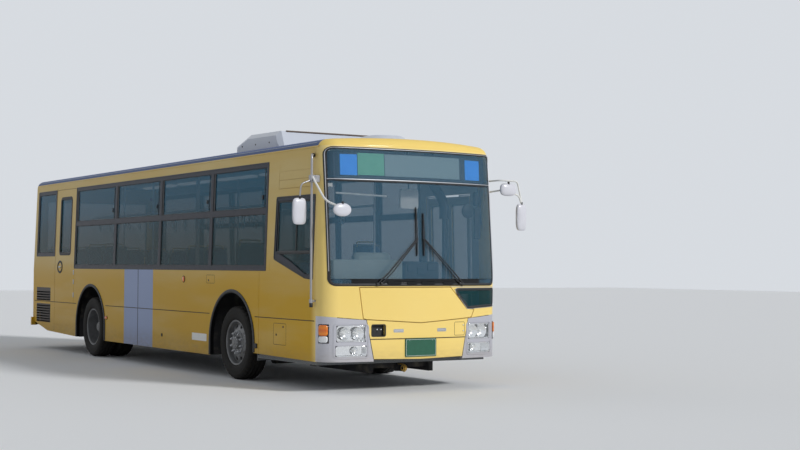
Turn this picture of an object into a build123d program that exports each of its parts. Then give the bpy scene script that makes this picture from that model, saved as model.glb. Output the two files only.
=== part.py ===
from build123d import *
from functools import cache
from math import cos, radians, sin, sqrt
import os

# City bus, low floor between the axles, driver on the right-hand side.
# +X forward, +Y left (the side with the passenger doors), +Z up, millimetres.
# The origin is on the ground, on the centreline, at the middle of the length.

LEFT = 1
RIGHT = -1
REACH = 3000.0              # longer than any half width, for cuts that go right through

# Overall form of the body
FRONT_X = 5530.0
REAR_X = -5560.0
HALF_WIDTH = 1245.0
WALL = 50.0
SKIRT_Z = 285.0
WAIST_Z = 1410.0            # upright below this height, leaning in above it
CANTRAIL_Z = 2900.0
CROWN_Z = 3020.0
CROWN_RADIUS = 16000.0
LEAN_Z = 3100.0             # height at which the three leans are given
SIDE_LEAN = 50.0
FRONT_LEAN = 100.0
REAR_LEAN = 40.0
FRONT_BOW_RADIUS = 5000.0   # plan curve of the front
REAR_BOW_RADIUS = 9000.0
FRONT_CORNER_RADIUS = 220.0
REAR_CORNER_RADIUS = 170.0
ROOF_EDGE_RADIUS = 130.0
FRONT_SPLIT_X = 5165.0      # joint between the side walls and the front mask
REAR_SPLIT_X = -5300.0      # joint between the side walls and the rear wall
SEAM_WIDTH = 6.0
SEAM_DEPTH = 5.0

# Wheels and axles
FRONT_AXLE_X = 2920.0
REAR_AXLE_X = -2380.0
TYRE_RADIUS = 479.0
TYRE_WIDTH = 276.0
RIM_RADIUS = 286.0
FRONT_TYRE_Y = 1060.0
KINGPIN_Y = 860.0
TWIN_Y = 920.0              # middle between the two rear tyres
TWIN_SPACING = 310.0
ARCH_RADIUS = 650.0
ARCH_Z = 490.0
HOUSING_WALL = 20.0

# Floor
LOW_FLOOR_Z = 360.0
STEP_FLOOR_Z = 580.0
REAR_FLOOR_Z = 800.0
BENCH_FLOOR_Z = 1150.0
FLOOR_THICKNESS = 40.0
STEP_X = -1620.0
STEP_GOING = 230.0
BENCH_X = -4180.0

# Glass
GLASS = 6.0
PANE_DEPTH = 12.0           # how far the side panes sit behind the body's face

# Doorways on the left side
DOOR_TOP_Z = 2420.0
DOOR_SILL_Z = 345.0
FRONT_DOOR_X = (3840.0, 4900.0)
MIDDLE_DOOR_X = (-830.0, 170.0)

# Front door: each leaf turns at its middle on two arms of about half its width, one above it
# and one below it, and the arms turn with a post beside the leaf's outer edge
LEAF_DEPTH = 10.0
LEAF_THICKNESS = 30.0
LEAF_MIDDLE_GAP = 8.0
POST_RADIUS = 18.0
POST_CLEARANCE = 9.0        # from the post to the jamb, and from the post to the leaf
POST_DEPTH = 49.0           # from the body's face at the waist in to the post's axis
ARM_WIDTH = 24.0
ARM_THICKNESS = 14.0
ARM_CLEARANCE = 6.0         # above and below each arm
PIVOT_RADIUS = 9.0

# Middle door: one leaf that slides forward inside the wall
SLIDE_DEPTH = 58.0
SLIDE_FLOOR_GAP = 25.0
SLIDE_TRAVEL = 960.0
SLIDE_OVERLAP = 20.0

# Emergency door on the right side
EMERGENCY_X = (-4170.0, -3205.0)
EMERGENCY_Z = (845.0, 2770.0)
EMERGENCY_GAP = 12.0
EMERGENCY_WINDOW_X = (-3960.0, -3410.0)
EMERGENCY_WINDOW_Z = (1670.0, 2620.0)

# Window rows: frame from end to end, with a rail across at RAIL_Z where there is one
ROW_Z = (1420.0, 2780.0)
RAIL_Z = 2170.0
FRAME_EDGE = 60.0
FRAME_DIVIDER = 90.0
FRAME_RAIL = 70.0

# side, first X, last X, dividers between panes, lowest Z, has a rail
WINDOW_ROWS = [
    (RIGHT, -3200.0, 3900.0, (-1350.0, 450.0, 2220.0), ROW_Z[0], True),
    (RIGHT, -5200.0, -4200.0, (), 1630.0, False),
    (LEFT, 290.0, 3720.0, (1433.0, 2577.0), ROW_Z[0], True),
    (LEFT, -3500.0, -950.0, (-2225.0,), ROW_Z[0], True),
    (LEFT, -5200.0, -3600.0, (), 1630.0, False),
]

# Front glass
SCREEN_HALF_WIDTH = 1185.0
SCREEN_Z = (1250.0, 2860.0)
SIGN_Z = 2500.0             # bar between the windscreen and the sign glass
SIGN_BAR = 24.0
SCREEN_CORNER = 90.0
SCREEN_DEPTH = 0.0
SCREEN_GLASS = 8.0

# Front lid, bumper and lamp covers
LID_TOP_Z = 1232.0
LID_GAP = 10.0
BUMPER_TOP_Z = 622.0
MASK_BOTTOM_Z = 634.0
COVER_TOP_Z = (855.0, 905.0)
COVER_X = 5190.0
REAR_BUMPER_OUT = 40.0

# Engine hatch
HATCH_Z = (560.0, 1330.0)
HATCH_HALF_WIDTH = 900.0
HATCH_GAP = 10.0
REAR_WINDOW_Z = (1640.0, 2640.0)
REAR_WINDOW_HALF_WIDTH = 960.0


@cache
def plan_outline(height, inset):
    """Plan of the body at a height, set in from the outer face by inset."""
    lean = max(0.0, height - WAIST_Z) / (LEAN_Z - WAIST_Z)
    half = HALF_WIDTH - SIDE_LEAN * lean - inset
    front = FRONT_X - FRONT_LEAN * lean - inset
    rear = REAR_X + REAR_LEAN * lean + inset
    front_end = front - FRONT_BOW_RADIUS + sqrt(FRONT_BOW_RADIUS**2 - half**2)
    rear_end = rear + REAR_BOW_RADIUS - sqrt(REAR_BOW_RADIUS**2 - half**2)
    with BuildSketch(Plane.XY.offset(height)) as outline:
        with BuildLine():
            ThreePointArc((front_end, half), (front, 0), (front_end, -half))
            Line((front_end, -half), (rear_end, -half))
            ThreePointArc((rear_end, -half), (rear, 0), (rear_end, half))
            Line((rear_end, half), (front_end, half))
        make_face()
        fillet(outline.vertices().group_by(Axis.X)[-1], FRONT_CORNER_RADIUS - inset)
        fillet(outline.vertices().group_by(Axis.X)[0], REAR_CORNER_RADIUS - inset)
    return outline.sketch


@cache
def body_form(inset):
    """The body as a solid, set in from its outer face by inset."""
    crown_drop = CROWN_RADIUS - sqrt(CROWN_RADIUS**2 - REACH**2 / 4)
    crown = CROWN_Z - inset
    with BuildPart() as form:
        add(plan_outline(WAIST_Z, inset))
        extrude(amount=-(WAIST_Z - SKIRT_Z + 100), dir=(0, 0, 1))
        loft([plan_outline(WAIST_Z, inset), plan_outline(LEAN_Z, inset)], ruled=True)
        with BuildSketch(Plane.YZ.offset(-2 * REACH)):
            with BuildLine():
                ThreePointArc((-REACH / 2, crown - crown_drop), (0, crown), (REACH / 2, crown - crown_drop))
                Polyline((REACH / 2, crown - crown_drop), (REACH / 2, 0), (-REACH / 2, 0),
                         (-REACH / 2, crown - crown_drop))
            make_face()
        extrude(amount=4 * REACH, mode=Mode.INTERSECT)
        roof_edges = form.edges().filter_by(lambda edge: edge.center().Z > CANTRAIL_Z - inset)
        fillet(roof_edges, ROOF_EDGE_RADIUS - inset)
    return form.part


def span_box(x, y, z, mode=Mode.ADD):
    """A box between two places on each axis, in the part being built."""
    with Locations(((x[0] + x[1]) / 2, (y[0] + y[1]) / 2, (z[0] + z[1]) / 2)):
        Box(x[1] - x[0], y[1] - y[0], z[1] - z[0], mode=mode)


def side_span(side, inner=0.0):
    """Range of Y from inner out past the body on one side."""
    return (inner, REACH / 2) if side == LEFT else (-REACH / 2, -inner)


def body_band(outer, inner, x, y, z):
    """The layer of the body between two depths, inside a box."""
    with BuildPart() as band:
        add(body_form(outer))
        span_box(x, y, z, mode=Mode.INTERSECT)
        add(body_form(inner), mode=Mode.SUBTRACT)
    return band.part


def side_view(points, y=0.0):
    """A face in the side view, from its (X, Z) points."""
    with BuildSketch(Plane.XZ.offset(-y)) as outline:
        with BuildLine():
            Polyline(*points, close=True)
        make_face()
    return outline.sketch


def front_view(points, x, grow=0.0):
    """A face in the front view, from its (Y, Z) points."""
    with BuildSketch(Plane.YZ.offset(x)) as outline:
        with BuildLine():
            Polyline(*points, close=True)
        make_face()
        if grow:
            offset(amount=grow)
    return outline.sketch


def side_disc(x, y, z, radius):
    """A round face in the side view."""
    with BuildSketch(Plane.XZ.offset(-y)) as outline:
        with Locations((x, z)):
            Circle(radius)
    return outline.sketch


def save(part, name):
    """Label a finished piece and write it."""
    part.label = name
    export_step(part, f"parts/{name}.step")


os.makedirs("parts", exist_ok=True)

# Side walls: skirt line, wheel arches, window rows, doorways and seams
SKIRT_CUT = [
    (REAR_X - WALL, 0), (REAR_X - WALL, 476), (REAR_SPLIT_X, 476), (-4540, 331), (REAR_AXLE_X - ARCH_RADIUS, 290),
    (REAR_AXLE_X, SKIRT_Z), (FRONT_AXLE_X, SKIRT_Z), (FRONT_AXLE_X + ARCH_RADIUS, 381), (FRONT_SPLIT_X, 365),
    (FRONT_X + WALL, 365), (FRONT_X + WALL, 0),
]
DRIVER_WINDOW = [(4100, 1563), (4130, 2330), (5128, 2330), (5118, 1324), (4905, 1338)]
DRIVER_PANE = [(4150, 1660), (4176, 2280), (5088, 2280), (5078, 1385), (4915, 1385), (4560, 1530)]

DRIVER_X = (4000.0, 5140.0)
DRIVER_Z = (1300.0, 2400.0)

# Seams of the right wall: X, lowest Z, highest Z
UPRIGHT_SEAMS = [(-5280, 476, 1600), (-4190, 345, 845), (-330, SKIRT_Z, 1420), (3710, 381, 1420), (4000, 1420, 2780)]
# Seams of the right wall: first X, last X, Z
LEVEL_SEAMS = [(-5300, -4190, 840), (-4190, -3050, 735), (-4190, -3050, 455)]
# Panel over the driver's window: first X, last X, Z of its ribs
RIB_X = (4180.0, 4990.0)
RIB_HEIGHTS = [2740.0, 2635.0, 2530.0, 2425.0]
# Grilles behind the rear wheel: first X, last X, lowest Z, highest Z
GRILLES = [(-5150.0, -4400.0, 857.0, 1079.0), (-5150.0, -4400.0, 480.0, 795.0)]
LOUVRE_PITCH = 45.0
LOUVRE_GAP = 22.0


def cut_arches():
    """Cut the four wheel arches through the part being built."""
    for axle_x in (FRONT_AXLE_X, REAR_AXLE_X):
        extrude(side_disc(axle_x, 0, ARCH_Z, ARCH_RADIUS), amount=REACH, both=True, mode=Mode.SUBTRACT)
        span_box((axle_x - ARCH_RADIUS, axle_x + ARCH_RADIUS), (-REACH, REACH), (0, ARCH_Z), mode=Mode.SUBTRACT)


def side_wall(side):
    """One side of the body with everything cut that both sides have."""
    with BuildPart() as wall:
        add(body_band(0, WALL, (REAR_SPLIT_X, FRONT_SPLIT_X), side_span(side), (0, CANTRAIL_Z)))
        extrude(side_view(SKIRT_CUT), amount=-side * REACH, mode=Mode.SUBTRACT)
        cut_arches()
        for row_side, x0, x1, _, z0, _ in WINDOW_ROWS:
            if row_side == side:
                span_box((x0, x1), side_span(side), (z0, ROW_Z[1]), mode=Mode.SUBTRACT)
    return wall.part


with BuildPart() as side_wall_right:
    add(side_wall(RIGHT))
    extrude(side_view(DRIVER_WINDOW), amount=REACH, mode=Mode.SUBTRACT)
    span_box((EMERGENCY_X[0] - EMERGENCY_GAP, EMERGENCY_X[1] + SEAM_WIDTH), side_span(RIGHT),
             (EMERGENCY_Z[0] - SEAM_WIDTH, EMERGENCY_Z[1] + SEAM_WIDTH), mode=Mode.SUBTRACT)
    seam_y = (-HALF_WIDTH - 1, -HALF_WIDTH + SEAM_DEPTH)
    rib_lean = SIDE_LEAN * (RIB_HEIGHTS[-1] - WAIST_Z) / (LEAN_Z - WAIST_Z)
    seam_y_upper = (-HALF_WIDTH - 1, -HALF_WIDTH + rib_lean + 2 * SEAM_DEPTH)
    for x, z0, z1 in UPRIGHT_SEAMS:
        span_box((x, x + SEAM_WIDTH), seam_y, (z0, z1), mode=Mode.SUBTRACT)
    for x0, x1, z in LEVEL_SEAMS:
        span_box((x0, x1), seam_y, (z, z + SEAM_WIDTH), mode=Mode.SUBTRACT)
    for z in RIB_HEIGHTS:
        span_box(RIB_X, seam_y_upper, (z, z + SEAM_WIDTH), mode=Mode.SUBTRACT)
    span_box((RIB_X[0], RIB_X[0] + SEAM_WIDTH), seam_y_upper, (RIB_HEIGHTS[-1], RIB_HEIGHTS[0]), mode=Mode.SUBTRACT)
    for x0, x1, z0, z1 in GRILLES:
        louvres = int((z1 - z0) // LOUVRE_PITCH)
        for row in range(louvres):
            z = z0 + row * LOUVRE_PITCH
            span_box((x0, x1), side_span(RIGHT), (z, z + LOUVRE_GAP), mode=Mode.SUBTRACT)
save(side_wall_right.part, "side_wall_right")

with BuildPart() as side_wall_left:
    add(side_wall(LEFT))
    for x0, x1 in (FRONT_DOOR_X, MIDDLE_DOOR_X):
        span_box((x0, x1), side_span(LEFT), (0, DOOR_TOP_Z), mode=Mode.SUBTRACT)
    span_box(MIDDLE_DOOR_X, (HALF_WIDTH - WALL, HALF_WIDTH), (SKIRT_Z, DOOR_SILL_Z))
save(side_wall_left.part, "side_wall_left")

# Roof: one skin from cantrail to cantrail
with BuildPart() as roof:
    add(body_form(0))
    span_box((REAR_X - WALL, FRONT_X + WALL), (-REACH, REACH), (CANTRAIL_Z, CROWN_Z + WALL), mode=Mode.INTERSECT)
    add(body_form(WALL), mode=Mode.SUBTRACT)
save(roof.part, "roof")

# Front mask: lid opening, windscreen opening, lamp covers and corner window cut out
COVER_OUTLINE = [(633, 300), (633, 400), (724, COVER_TOP_Z[0]), (1300, COVER_TOP_Z[1]), (1300, 300)]
LID_OUTLINE = [
    (-810, LID_TOP_Z), (440, LID_TOP_Z), (700, 969), (818, 960), (778, 876), (722, 865), (0, 818), (-722, 865),
    (-760, 874),
]
LID_THICKNESS = 25.0
LID_FLANGE = 35.0           # rebate of the mask that the lid closes on
CORNER_WINDOW = [(500, 1210), (1175, 1210), (1165, 1007), (720, 984)]
FRONT_CUT_X = FRONT_SPLIT_X - WALL  # where cuts through the front begin
# Openings in the bumper panel: lowest Y, highest Y, lowest Z, highest Z
PANEL_OPENINGS = [(-660, -480, 660, 800), (-367, -247, 711, 736), (247, 367, 711, 736)]


def screen_view():
    """The rounded opening of the windscreen and sign in the front view."""
    with BuildSketch(Plane.YZ.offset(FRONT_CUT_X)) as outline:
        with Locations((0, (SCREEN_Z[0] + SCREEN_Z[1]) / 2)):
            RectangleRounded(2 * SCREEN_HALF_WIDTH, SCREEN_Z[1] - SCREEN_Z[0], SCREEN_CORNER)
    return outline.sketch


def mirrored(points):
    """The same front-view outline on the other side."""
    return [(-y, z) for y, z in points]


FRONT_ZONE = ((FRONT_SPLIT_X, FRONT_X + WALL), (-REACH / 2, REACH / 2))
with BuildPart() as lid_recess:
    extrude(front_view(LID_OUTLINE, FRONT_CUT_X, grow=LID_GAP), amount=REACH)
    add(body_form(LID_THICKNESS + LID_GAP), mode=Mode.SUBTRACT)

with BuildPart() as front_mask:
    add(body_band(0, WALL, *FRONT_ZONE, (365, CANTRAIL_Z)))
    extrude(screen_view(), amount=REACH, mode=Mode.SUBTRACT)
    extrude(front_view(CORNER_WINDOW, FRONT_CUT_X), amount=REACH, mode=Mode.SUBTRACT)
    extrude(front_view(LID_OUTLINE, FRONT_CUT_X, grow=-LID_FLANGE), amount=REACH, mode=Mode.SUBTRACT)
    add(lid_recess.part, mode=Mode.SUBTRACT)
    for outline in (COVER_OUTLINE, mirrored(COVER_OUTLINE)):
        extrude(front_view(outline, COVER_X), amount=REACH, mode=Mode.SUBTRACT)
    span_box((COVER_X, FRONT_X + WALL), (-700, 700), (0, MASK_BOTTOM_Z), mode=Mode.SUBTRACT)
    for y0, y1, z0, z1 in PANEL_OPENINGS:
        span_box((COVER_X, FRONT_X + WALL), (y0, y1), (z0, z1), mode=Mode.SUBTRACT)
save(front_mask.part, "front_mask")

# Front lid: hinged along its top edge
with BuildPart() as front_lid:
    add(body_band(0, LID_THICKNESS, *FRONT_ZONE, (800, LID_TOP_Z)))
    extrude(front_view(LID_OUTLINE, FRONT_CUT_X), amount=REACH, mode=Mode.INTERSECT)
save(front_lid.part, "front_lid")

# Lamp covers: silver corners that wrap from the side to the front
# Lamps in each cover: lowest |Y|, highest |Y|, lowest Z, highest Z
HEADLAMP = (730.0, 1090.0, 600.0, 790.0)
FOG_LAMP = (720.0, 1100.0, 430.0, 556.0)
TURN_LAMP = (1165.0, 1260.0, 585.0, 808.0)
TURN_LAMP_X = 5245.0
LAMP_GAP = 2.0
with BuildPart() as lamp_covers:
    for outline in (COVER_OUTLINE, mirrored(COVER_OUTLINE)):
        extrude(front_view(outline, COVER_X), amount=REACH)
    add(body_form(0), mode=Mode.INTERSECT)
    add(body_form(WALL), mode=Mode.SUBTRACT)
    span_box((COVER_X, REACH * 2), (-REACH, REACH), (368, 1000), mode=Mode.INTERSECT)
    for side in (LEFT, RIGHT):
        for y0, y1, z0, z1 in (HEADLAMP, FOG_LAMP):
            y = sorted((side * y0, side * y1))
            span_box((COVER_X, REACH * 2), y, (z0, z1), mode=Mode.SUBTRACT)
        y = sorted((side * TURN_LAMP[0], side * TURN_LAMP[1]))
        span_box((TURN_LAMP_X, REACH * 2), y, TURN_LAMP[2:], mode=Mode.SUBTRACT)
save(lamp_covers.part, "lamp_covers")

# Bumpers: the front one sits between the lamp covers, the rear one wraps under the hatch
BUMPER_OUTLINE = [(-627, 397), (0, 385), (627, 397), (672, BUMPER_TOP_Z), (-672, BUMPER_TOP_Z)]
with BuildPart() as bumpers:
    add(body_band(0, WALL, *FRONT_ZONE, (365, BUMPER_TOP_Z)))
    extrude(front_view(BUMPER_OUTLINE, FRONT_CUT_X), amount=REACH, mode=Mode.INTERSECT)
    add(body_band(-REAR_BUMPER_OUT, WALL, (REAR_X - WALL, REAR_SPLIT_X), (-REACH / 2, REACH / 2),
                  (400, HATCH_Z[0] - 20)))
save(bumpers.part, "bumpers")

# Lamps, front and rear: each fills its opening
# Rear lamps: lowest |Y|, highest |Y|, lowest Z, highest Z
REAR_LAMP = (1000.0, 1120.0, 640.0, 1240.0)
REAR_TOP_LAMP = (1000.0, 1090.0, 2700.0, 2760.0)
with BuildPart() as lamps:
    for side in (LEFT, RIGHT):
        for y0, y1, z0, z1 in (HEADLAMP, FOG_LAMP, TURN_LAMP):
            y = sorted((side * (y0 + LAMP_GAP), side * (y1 - LAMP_GAP)))
            x0 = TURN_LAMP_X + LAMP_GAP if y1 == TURN_LAMP[1] else COVER_X
            add(body_band(0, WALL, (x0, FRONT_X + WALL), y, (z0 + LAMP_GAP, z1 - LAMP_GAP)))
        for y0, y1, z0, z1 in (REAR_LAMP, REAR_TOP_LAMP):
            y = sorted((side * y0, side * y1))
            add(body_band(-8, WALL, (REAR_X - WALL, REAR_SPLIT_X), y, (z0, z1)))
save(lamps.part, "lamps")

# Rear wall: window, hatch opening and lamps cut out
REAR_ZONE = ((REAR_X - WALL, REAR_SPLIT_X), (-REACH / 2, REACH / 2))
with BuildPart() as rear_wall:
    add(body_band(0, WALL, *REAR_ZONE, (HATCH_Z[0] - 20, CANTRAIL_Z)))
    span_box((REAR_X - WALL, REAR_SPLIT_X - 100), (-REAR_WINDOW_HALF_WIDTH, REAR_WINDOW_HALF_WIDTH),
             REAR_WINDOW_Z, mode=Mode.SUBTRACT)
    span_box((REAR_X - WALL, REAR_SPLIT_X - 100),
             (-HATCH_HALF_WIDTH - HATCH_GAP, HATCH_HALF_WIDTH + HATCH_GAP),
             (HATCH_Z[0] - HATCH_GAP, HATCH_Z[1] + HATCH_GAP), mode=Mode.SUBTRACT)
    for side in (LEFT, RIGHT):
        for y0, y1, z0, z1 in (REAR_LAMP, REAR_TOP_LAMP):
            y = sorted((side * y0, side * y1))
            span_box((REAR_X - WALL, REAR_SPLIT_X - 50), y, (z0, z1), mode=Mode.SUBTRACT)
save(rear_wall.part, "rear_wall")

# Engine hatch: louvred lid hinged along its top edge
HATCH_LOUVRES = 7
with BuildPart() as engine_hatch:
    add(body_band(0, 30, (REAR_X - WALL, REAR_SPLIT_X), (-HATCH_HALF_WIDTH, HATCH_HALF_WIDTH), HATCH_Z))
    for row in range(HATCH_LOUVRES):
        z = HATCH_Z[0] + 90 + row * LOUVRE_PITCH
        for side in (LEFT, RIGHT):
            y = sorted((side * 120, side * 700))
            span_box((REAR_X - WALL, REAR_SPLIT_X - 100), y, (z, z + LOUVRE_GAP), mode=Mode.SUBTRACT)
save(engine_hatch.part, "engine_hatch")

# Window frames: dark frames that fill each row, with dividers and a sliding rail
def pane_spans(x0, x1, dividers, z0, rail):
    """The openings of a row for its panes, as (first X, last X, lowest Z, highest Z)."""
    edges = [x0 + FRAME_EDGE]
    for middle in dividers:
        edges += [middle - FRAME_DIVIDER / 2, middle + FRAME_DIVIDER / 2]
    edges.append(x1 - FRAME_EDGE)
    levels = [z0 + FRAME_EDGE, ROW_Z[1] - FRAME_EDGE]
    if rail:
        levels[1:1] = [RAIL_Z - FRAME_RAIL / 2, RAIL_Z + FRAME_RAIL / 2]
    columns = list(zip(edges[::2], edges[1::2]))
    rows = list(zip(levels[::2], levels[1::2]))
    return [(a, b, low, high) for a, b in columns for low, high in rows]


with BuildPart() as window_frames:
    for side, x0, x1, dividers, z0, rail in WINDOW_ROWS:
        add(body_band(0, WALL, (x0, x1), side_span(side), (z0, ROW_Z[1])))
        for a, b, low, high in pane_spans(x0, x1, dividers, z0, rail):
            span_box((a, b), side_span(side), (low, high), mode=Mode.SUBTRACT)
    driver_frame = side_view(DRIVER_WINDOW) - side_view(DRIVER_PANE)
    driver_frame = extrude(driver_frame, amount=REACH, mode=Mode.PRIVATE)
    add(driver_frame & body_band(0, WALL, DRIVER_X, side_span(RIGHT), DRIVER_Z))
save(window_frames.part, "window_frames")

# Glass of the body: side panes, driver's pane, corner window and rear window
with BuildPart() as body_glass:
    for side, x0, x1, dividers, z0, rail in WINDOW_ROWS:
        add(body_band(PANE_DEPTH, PANE_DEPTH + GLASS, (x0 + FRAME_EDGE, x1 - FRAME_EDGE), side_span(side),
                      (z0 + FRAME_EDGE, ROW_Z[1] - FRAME_EDGE)))
        for middle in dividers:
            span_box((middle - FRAME_DIVIDER / 2, middle + FRAME_DIVIDER / 2), side_span(side), (z0, ROW_Z[1]),
                     mode=Mode.SUBTRACT)
        if rail:
            span_box((x0, x1), side_span(side), (RAIL_Z - FRAME_RAIL / 2, RAIL_Z + FRAME_RAIL / 2),
                     mode=Mode.SUBTRACT)
    driver_pane = extrude(side_view(DRIVER_PANE), amount=REACH, mode=Mode.PRIVATE)
    add(driver_pane & body_band(PANE_DEPTH, PANE_DEPTH + GLASS, DRIVER_X, side_span(RIGHT), DRIVER_Z))
    corner_pane = extrude(front_view(CORNER_WINDOW, FRONT_CUT_X), amount=REACH, mode=Mode.PRIVATE)
    add(corner_pane & body_band(SCREEN_DEPTH, SCREEN_DEPTH + SCREEN_GLASS, *FRONT_ZONE, (900, 1300)))
    add(body_band(PANE_DEPTH, PANE_DEPTH + GLASS, (REAR_X - WALL, REAR_SPLIT_X - 100),
                  (-REAR_WINDOW_HALF_WIDTH, REAR_WINDOW_HALF_WIDTH), REAR_WINDOW_Z))
save(body_glass.part, "body_glass")

# Front glass: windscreen and sign glass, one above the other
with BuildPart() as front_glass:
    add(body_band(SCREEN_DEPTH, SCREEN_DEPTH + SCREEN_GLASS, *FRONT_ZONE, SCREEN_Z))
    extrude(screen_view(), amount=REACH, mode=Mode.INTERSECT)
    span_box((FRONT_SPLIT_X, FRONT_X + WALL), (-REACH / 2, REACH / 2),
             (SIGN_Z - SIGN_BAR / 2, SIGN_Z + SIGN_BAR / 2), mode=Mode.SUBTRACT)
save(front_glass.part, "front_glass")

# Bar between the windscreen and the sign, with the dark box of the sign behind its glass
SIGN_BOX_X = 5200.0
with BuildPart() as sign_block:
    add(body_form(WALL))
    span_box((SIGN_BOX_X, FRONT_X), (-SCREEN_HALF_WIDTH + WALL, SCREEN_HALF_WIDTH - WALL),
             (SIGN_Z - SIGN_BAR / 2, SCREEN_Z[1] - SIGN_BAR), mode=Mode.INTERSECT)
with BuildPart() as sign_box:
    add(body_band(0, WALL, *FRONT_ZONE, (SIGN_Z - SIGN_BAR / 2, SIGN_Z + SIGN_BAR / 2)))
    extrude(screen_view(), amount=REACH, mode=Mode.INTERSECT)
    add(sign_block.part)
save(sign_box.part, "sign_box")

# Floor: low from the front to the middle door, then two steps up to the rear
FLOOR_FRONT_X = 5150.0
low_line = [
    (FLOOR_FRONT_X, LOW_FLOOR_Z), (STEP_X, LOW_FLOOR_Z), (STEP_X, LOW_FLOOR_Z - FLOOR_THICKNESS),
    (FLOOR_FRONT_X, LOW_FLOOR_Z - FLOOR_THICKNESS),
]
step_back_x = STEP_X - STEP_GOING
rear_line = [
    (STEP_X, LOW_FLOOR_Z - FLOOR_THICKNESS), (STEP_X, STEP_FLOOR_Z), (step_back_x, STEP_FLOOR_Z),
    (step_back_x, REAR_FLOOR_Z), (BENCH_X, REAR_FLOOR_Z), (BENCH_X, BENCH_FLOOR_Z), (REAR_X, BENCH_FLOOR_Z),
    (REAR_X, BENCH_FLOOR_Z - FLOOR_THICKNESS), (BENCH_X - FLOOR_THICKNESS, BENCH_FLOOR_Z - FLOOR_THICKNESS),
    (BENCH_X - FLOOR_THICKNESS, REAR_FLOOR_Z - FLOOR_THICKNESS),
    (step_back_x - FLOOR_THICKNESS, REAR_FLOOR_Z - FLOOR_THICKNESS),
    (step_back_x - FLOOR_THICKNESS, STEP_FLOOR_Z - FLOOR_THICKNESS),
    (STEP_X - FLOOR_THICKNESS, STEP_FLOOR_Z - FLOOR_THICKNESS),
    (STEP_X - FLOOR_THICKNESS, LOW_FLOOR_Z - FLOOR_THICKNESS),
]
HOUSING_HALF_LENGTH = ARCH_RADIUS + 5.0
HOUSING_TOP_Z = ARCH_Z + ARCH_RADIUS + 15.0
HOUSING_CORNER = 220.0
# axle X, |Y| of the housing's inner face
HOUSINGS = [(FRONT_AXLE_X, 520.0), (REAR_AXLE_X, 560.0)]
AXLE_SLOT = 115.0           # half width of the slot round the rear axle
SILL_SETBACK = 5.0          # of the front doorway's sill from the body's face
low_floor_z = (LOW_FLOOR_Z - FLOOR_THICKNESS, LOW_FLOOR_Z)
for name, line in (("floor", low_line), ("rear_floor", rear_line)):
    with BuildPart() as floor:
        extrude(side_view(line), amount=HALF_WIDTH - WALL, both=True)
        add(body_form(WALL), mode=Mode.INTERSECT)
        if name == "floor":
            span_box(FRONT_DOOR_X, (HALF_WIDTH - 2 * WALL, HALF_WIDTH - SILL_SETBACK), low_floor_z)
        for axle_x, inner_y in HOUSINGS:
            outer_half = HOUSING_HALF_LENGTH + HOUSING_WALL
            for side in (LEFT, RIGHT):
                span_box((axle_x - outer_half, axle_x + outer_half), side_span(side, inner_y), (0, REACH),
                         mode=Mode.SUBTRACT)
    save(floor.part, name)


# Wheel housings: hollow boxes with rounded tops, open below and to the side
def housing_form(axle_x, side, grow, depth):
    """The space of one housing, grown outwards by grow, from depth out to the side wall."""
    half = HOUSING_HALF_LENGTH + grow
    top = HOUSING_TOP_Z + grow
    with BuildPart() as form:
        with BuildSketch(Plane.XZ.offset(-side * depth)):
            with BuildLine():
                FilletPolyline((axle_x - half, SKIRT_Z), (axle_x - half, top), (axle_x + half, top),
                               (axle_x + half, SKIRT_Z), radius=HOUSING_CORNER + grow)
                Line((axle_x + half, SKIRT_Z), (axle_x - half, SKIRT_Z))
            make_face()
        extrude(amount=-side * (HALF_WIDTH - WALL - depth))
    return form.part


for place, (axle_x, inner_y) in zip(("front", "rear"), HOUSINGS):
    for side_name, side in (("left", LEFT), ("right", RIGHT)):
        with BuildPart() as housing:
            add(housing_form(axle_x, side, HOUSING_WALL, inner_y))
            add(housing_form(axle_x, side, 0.0, inner_y + HOUSING_WALL), mode=Mode.SUBTRACT)
            if place == "rear":
                span_box((axle_x - AXLE_SLOT, axle_x + AXLE_SLOT), (-REACH, REACH), (0, TYRE_RADIUS + AXLE_SLOT),
                         mode=Mode.SUBTRACT)
        save(housing.part, f"housing_{place}_{side_name}")

# Underframe: a low ladder between the axles, a short one ahead with the towing eye, and a
# high one that rises over the rear axle and carries the engine
RAIL_Y = 430.0
RAIL_WIDTH = 60.0
LOW_RAIL_Z = (200.0, LOW_FLOOR_Z - FLOOR_THICKNESS)
HIGH_RAIL_Z = (620.0, REAR_FLOOR_Z - FLOOR_THICKNESS)
KICK_X = -1700.0
FRONT_LADDER_X = (3620.0, 5100.0)
MIDDLE_LADDER_X = (KICK_X, 2200.0)
HIGH_RAIL_END_X = -5380.0
HIGH_RAIL_START_X = -2100.0  # where the high rail begins to drop to the low one
high_line = [
    (HIGH_RAIL_END_X, HIGH_RAIL_Z[1]), (HIGH_RAIL_START_X, HIGH_RAIL_Z[1]), (KICK_X, LOW_RAIL_Z[1]),
    (KICK_X, LOW_RAIL_Z[0]), (KICK_X - 80, LOW_RAIL_Z[0]), (HIGH_RAIL_START_X - 120, HIGH_RAIL_Z[0]),
    (HIGH_RAIL_END_X, HIGH_RAIL_Z[0]),
]
OUTRIGGERS = [-1400.0, -400.0, 600.0, 1500.0, 2100.0]
REAR_CROSSMEMBERS = [-5350.0, -4150.0, -3150.0]
FRONT_CROSSMEMBERS = [3700.0, 4300.0, 5000.0]
MEMBER_HALF_WIDTH = 30.0
MEMBER_Z = 250.0
OUTRIGGER_DEPTH = 35.0
TOW_EYE = (5160.0, 250.0)
TOW_EYE_RADIUS = 20.0
TOW_EYE_THICKNESS = 30.0
TOW_TONGUE = (150.0, 80.0)
TOW_BLOCK_HALF_WIDTH = 60.0


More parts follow.
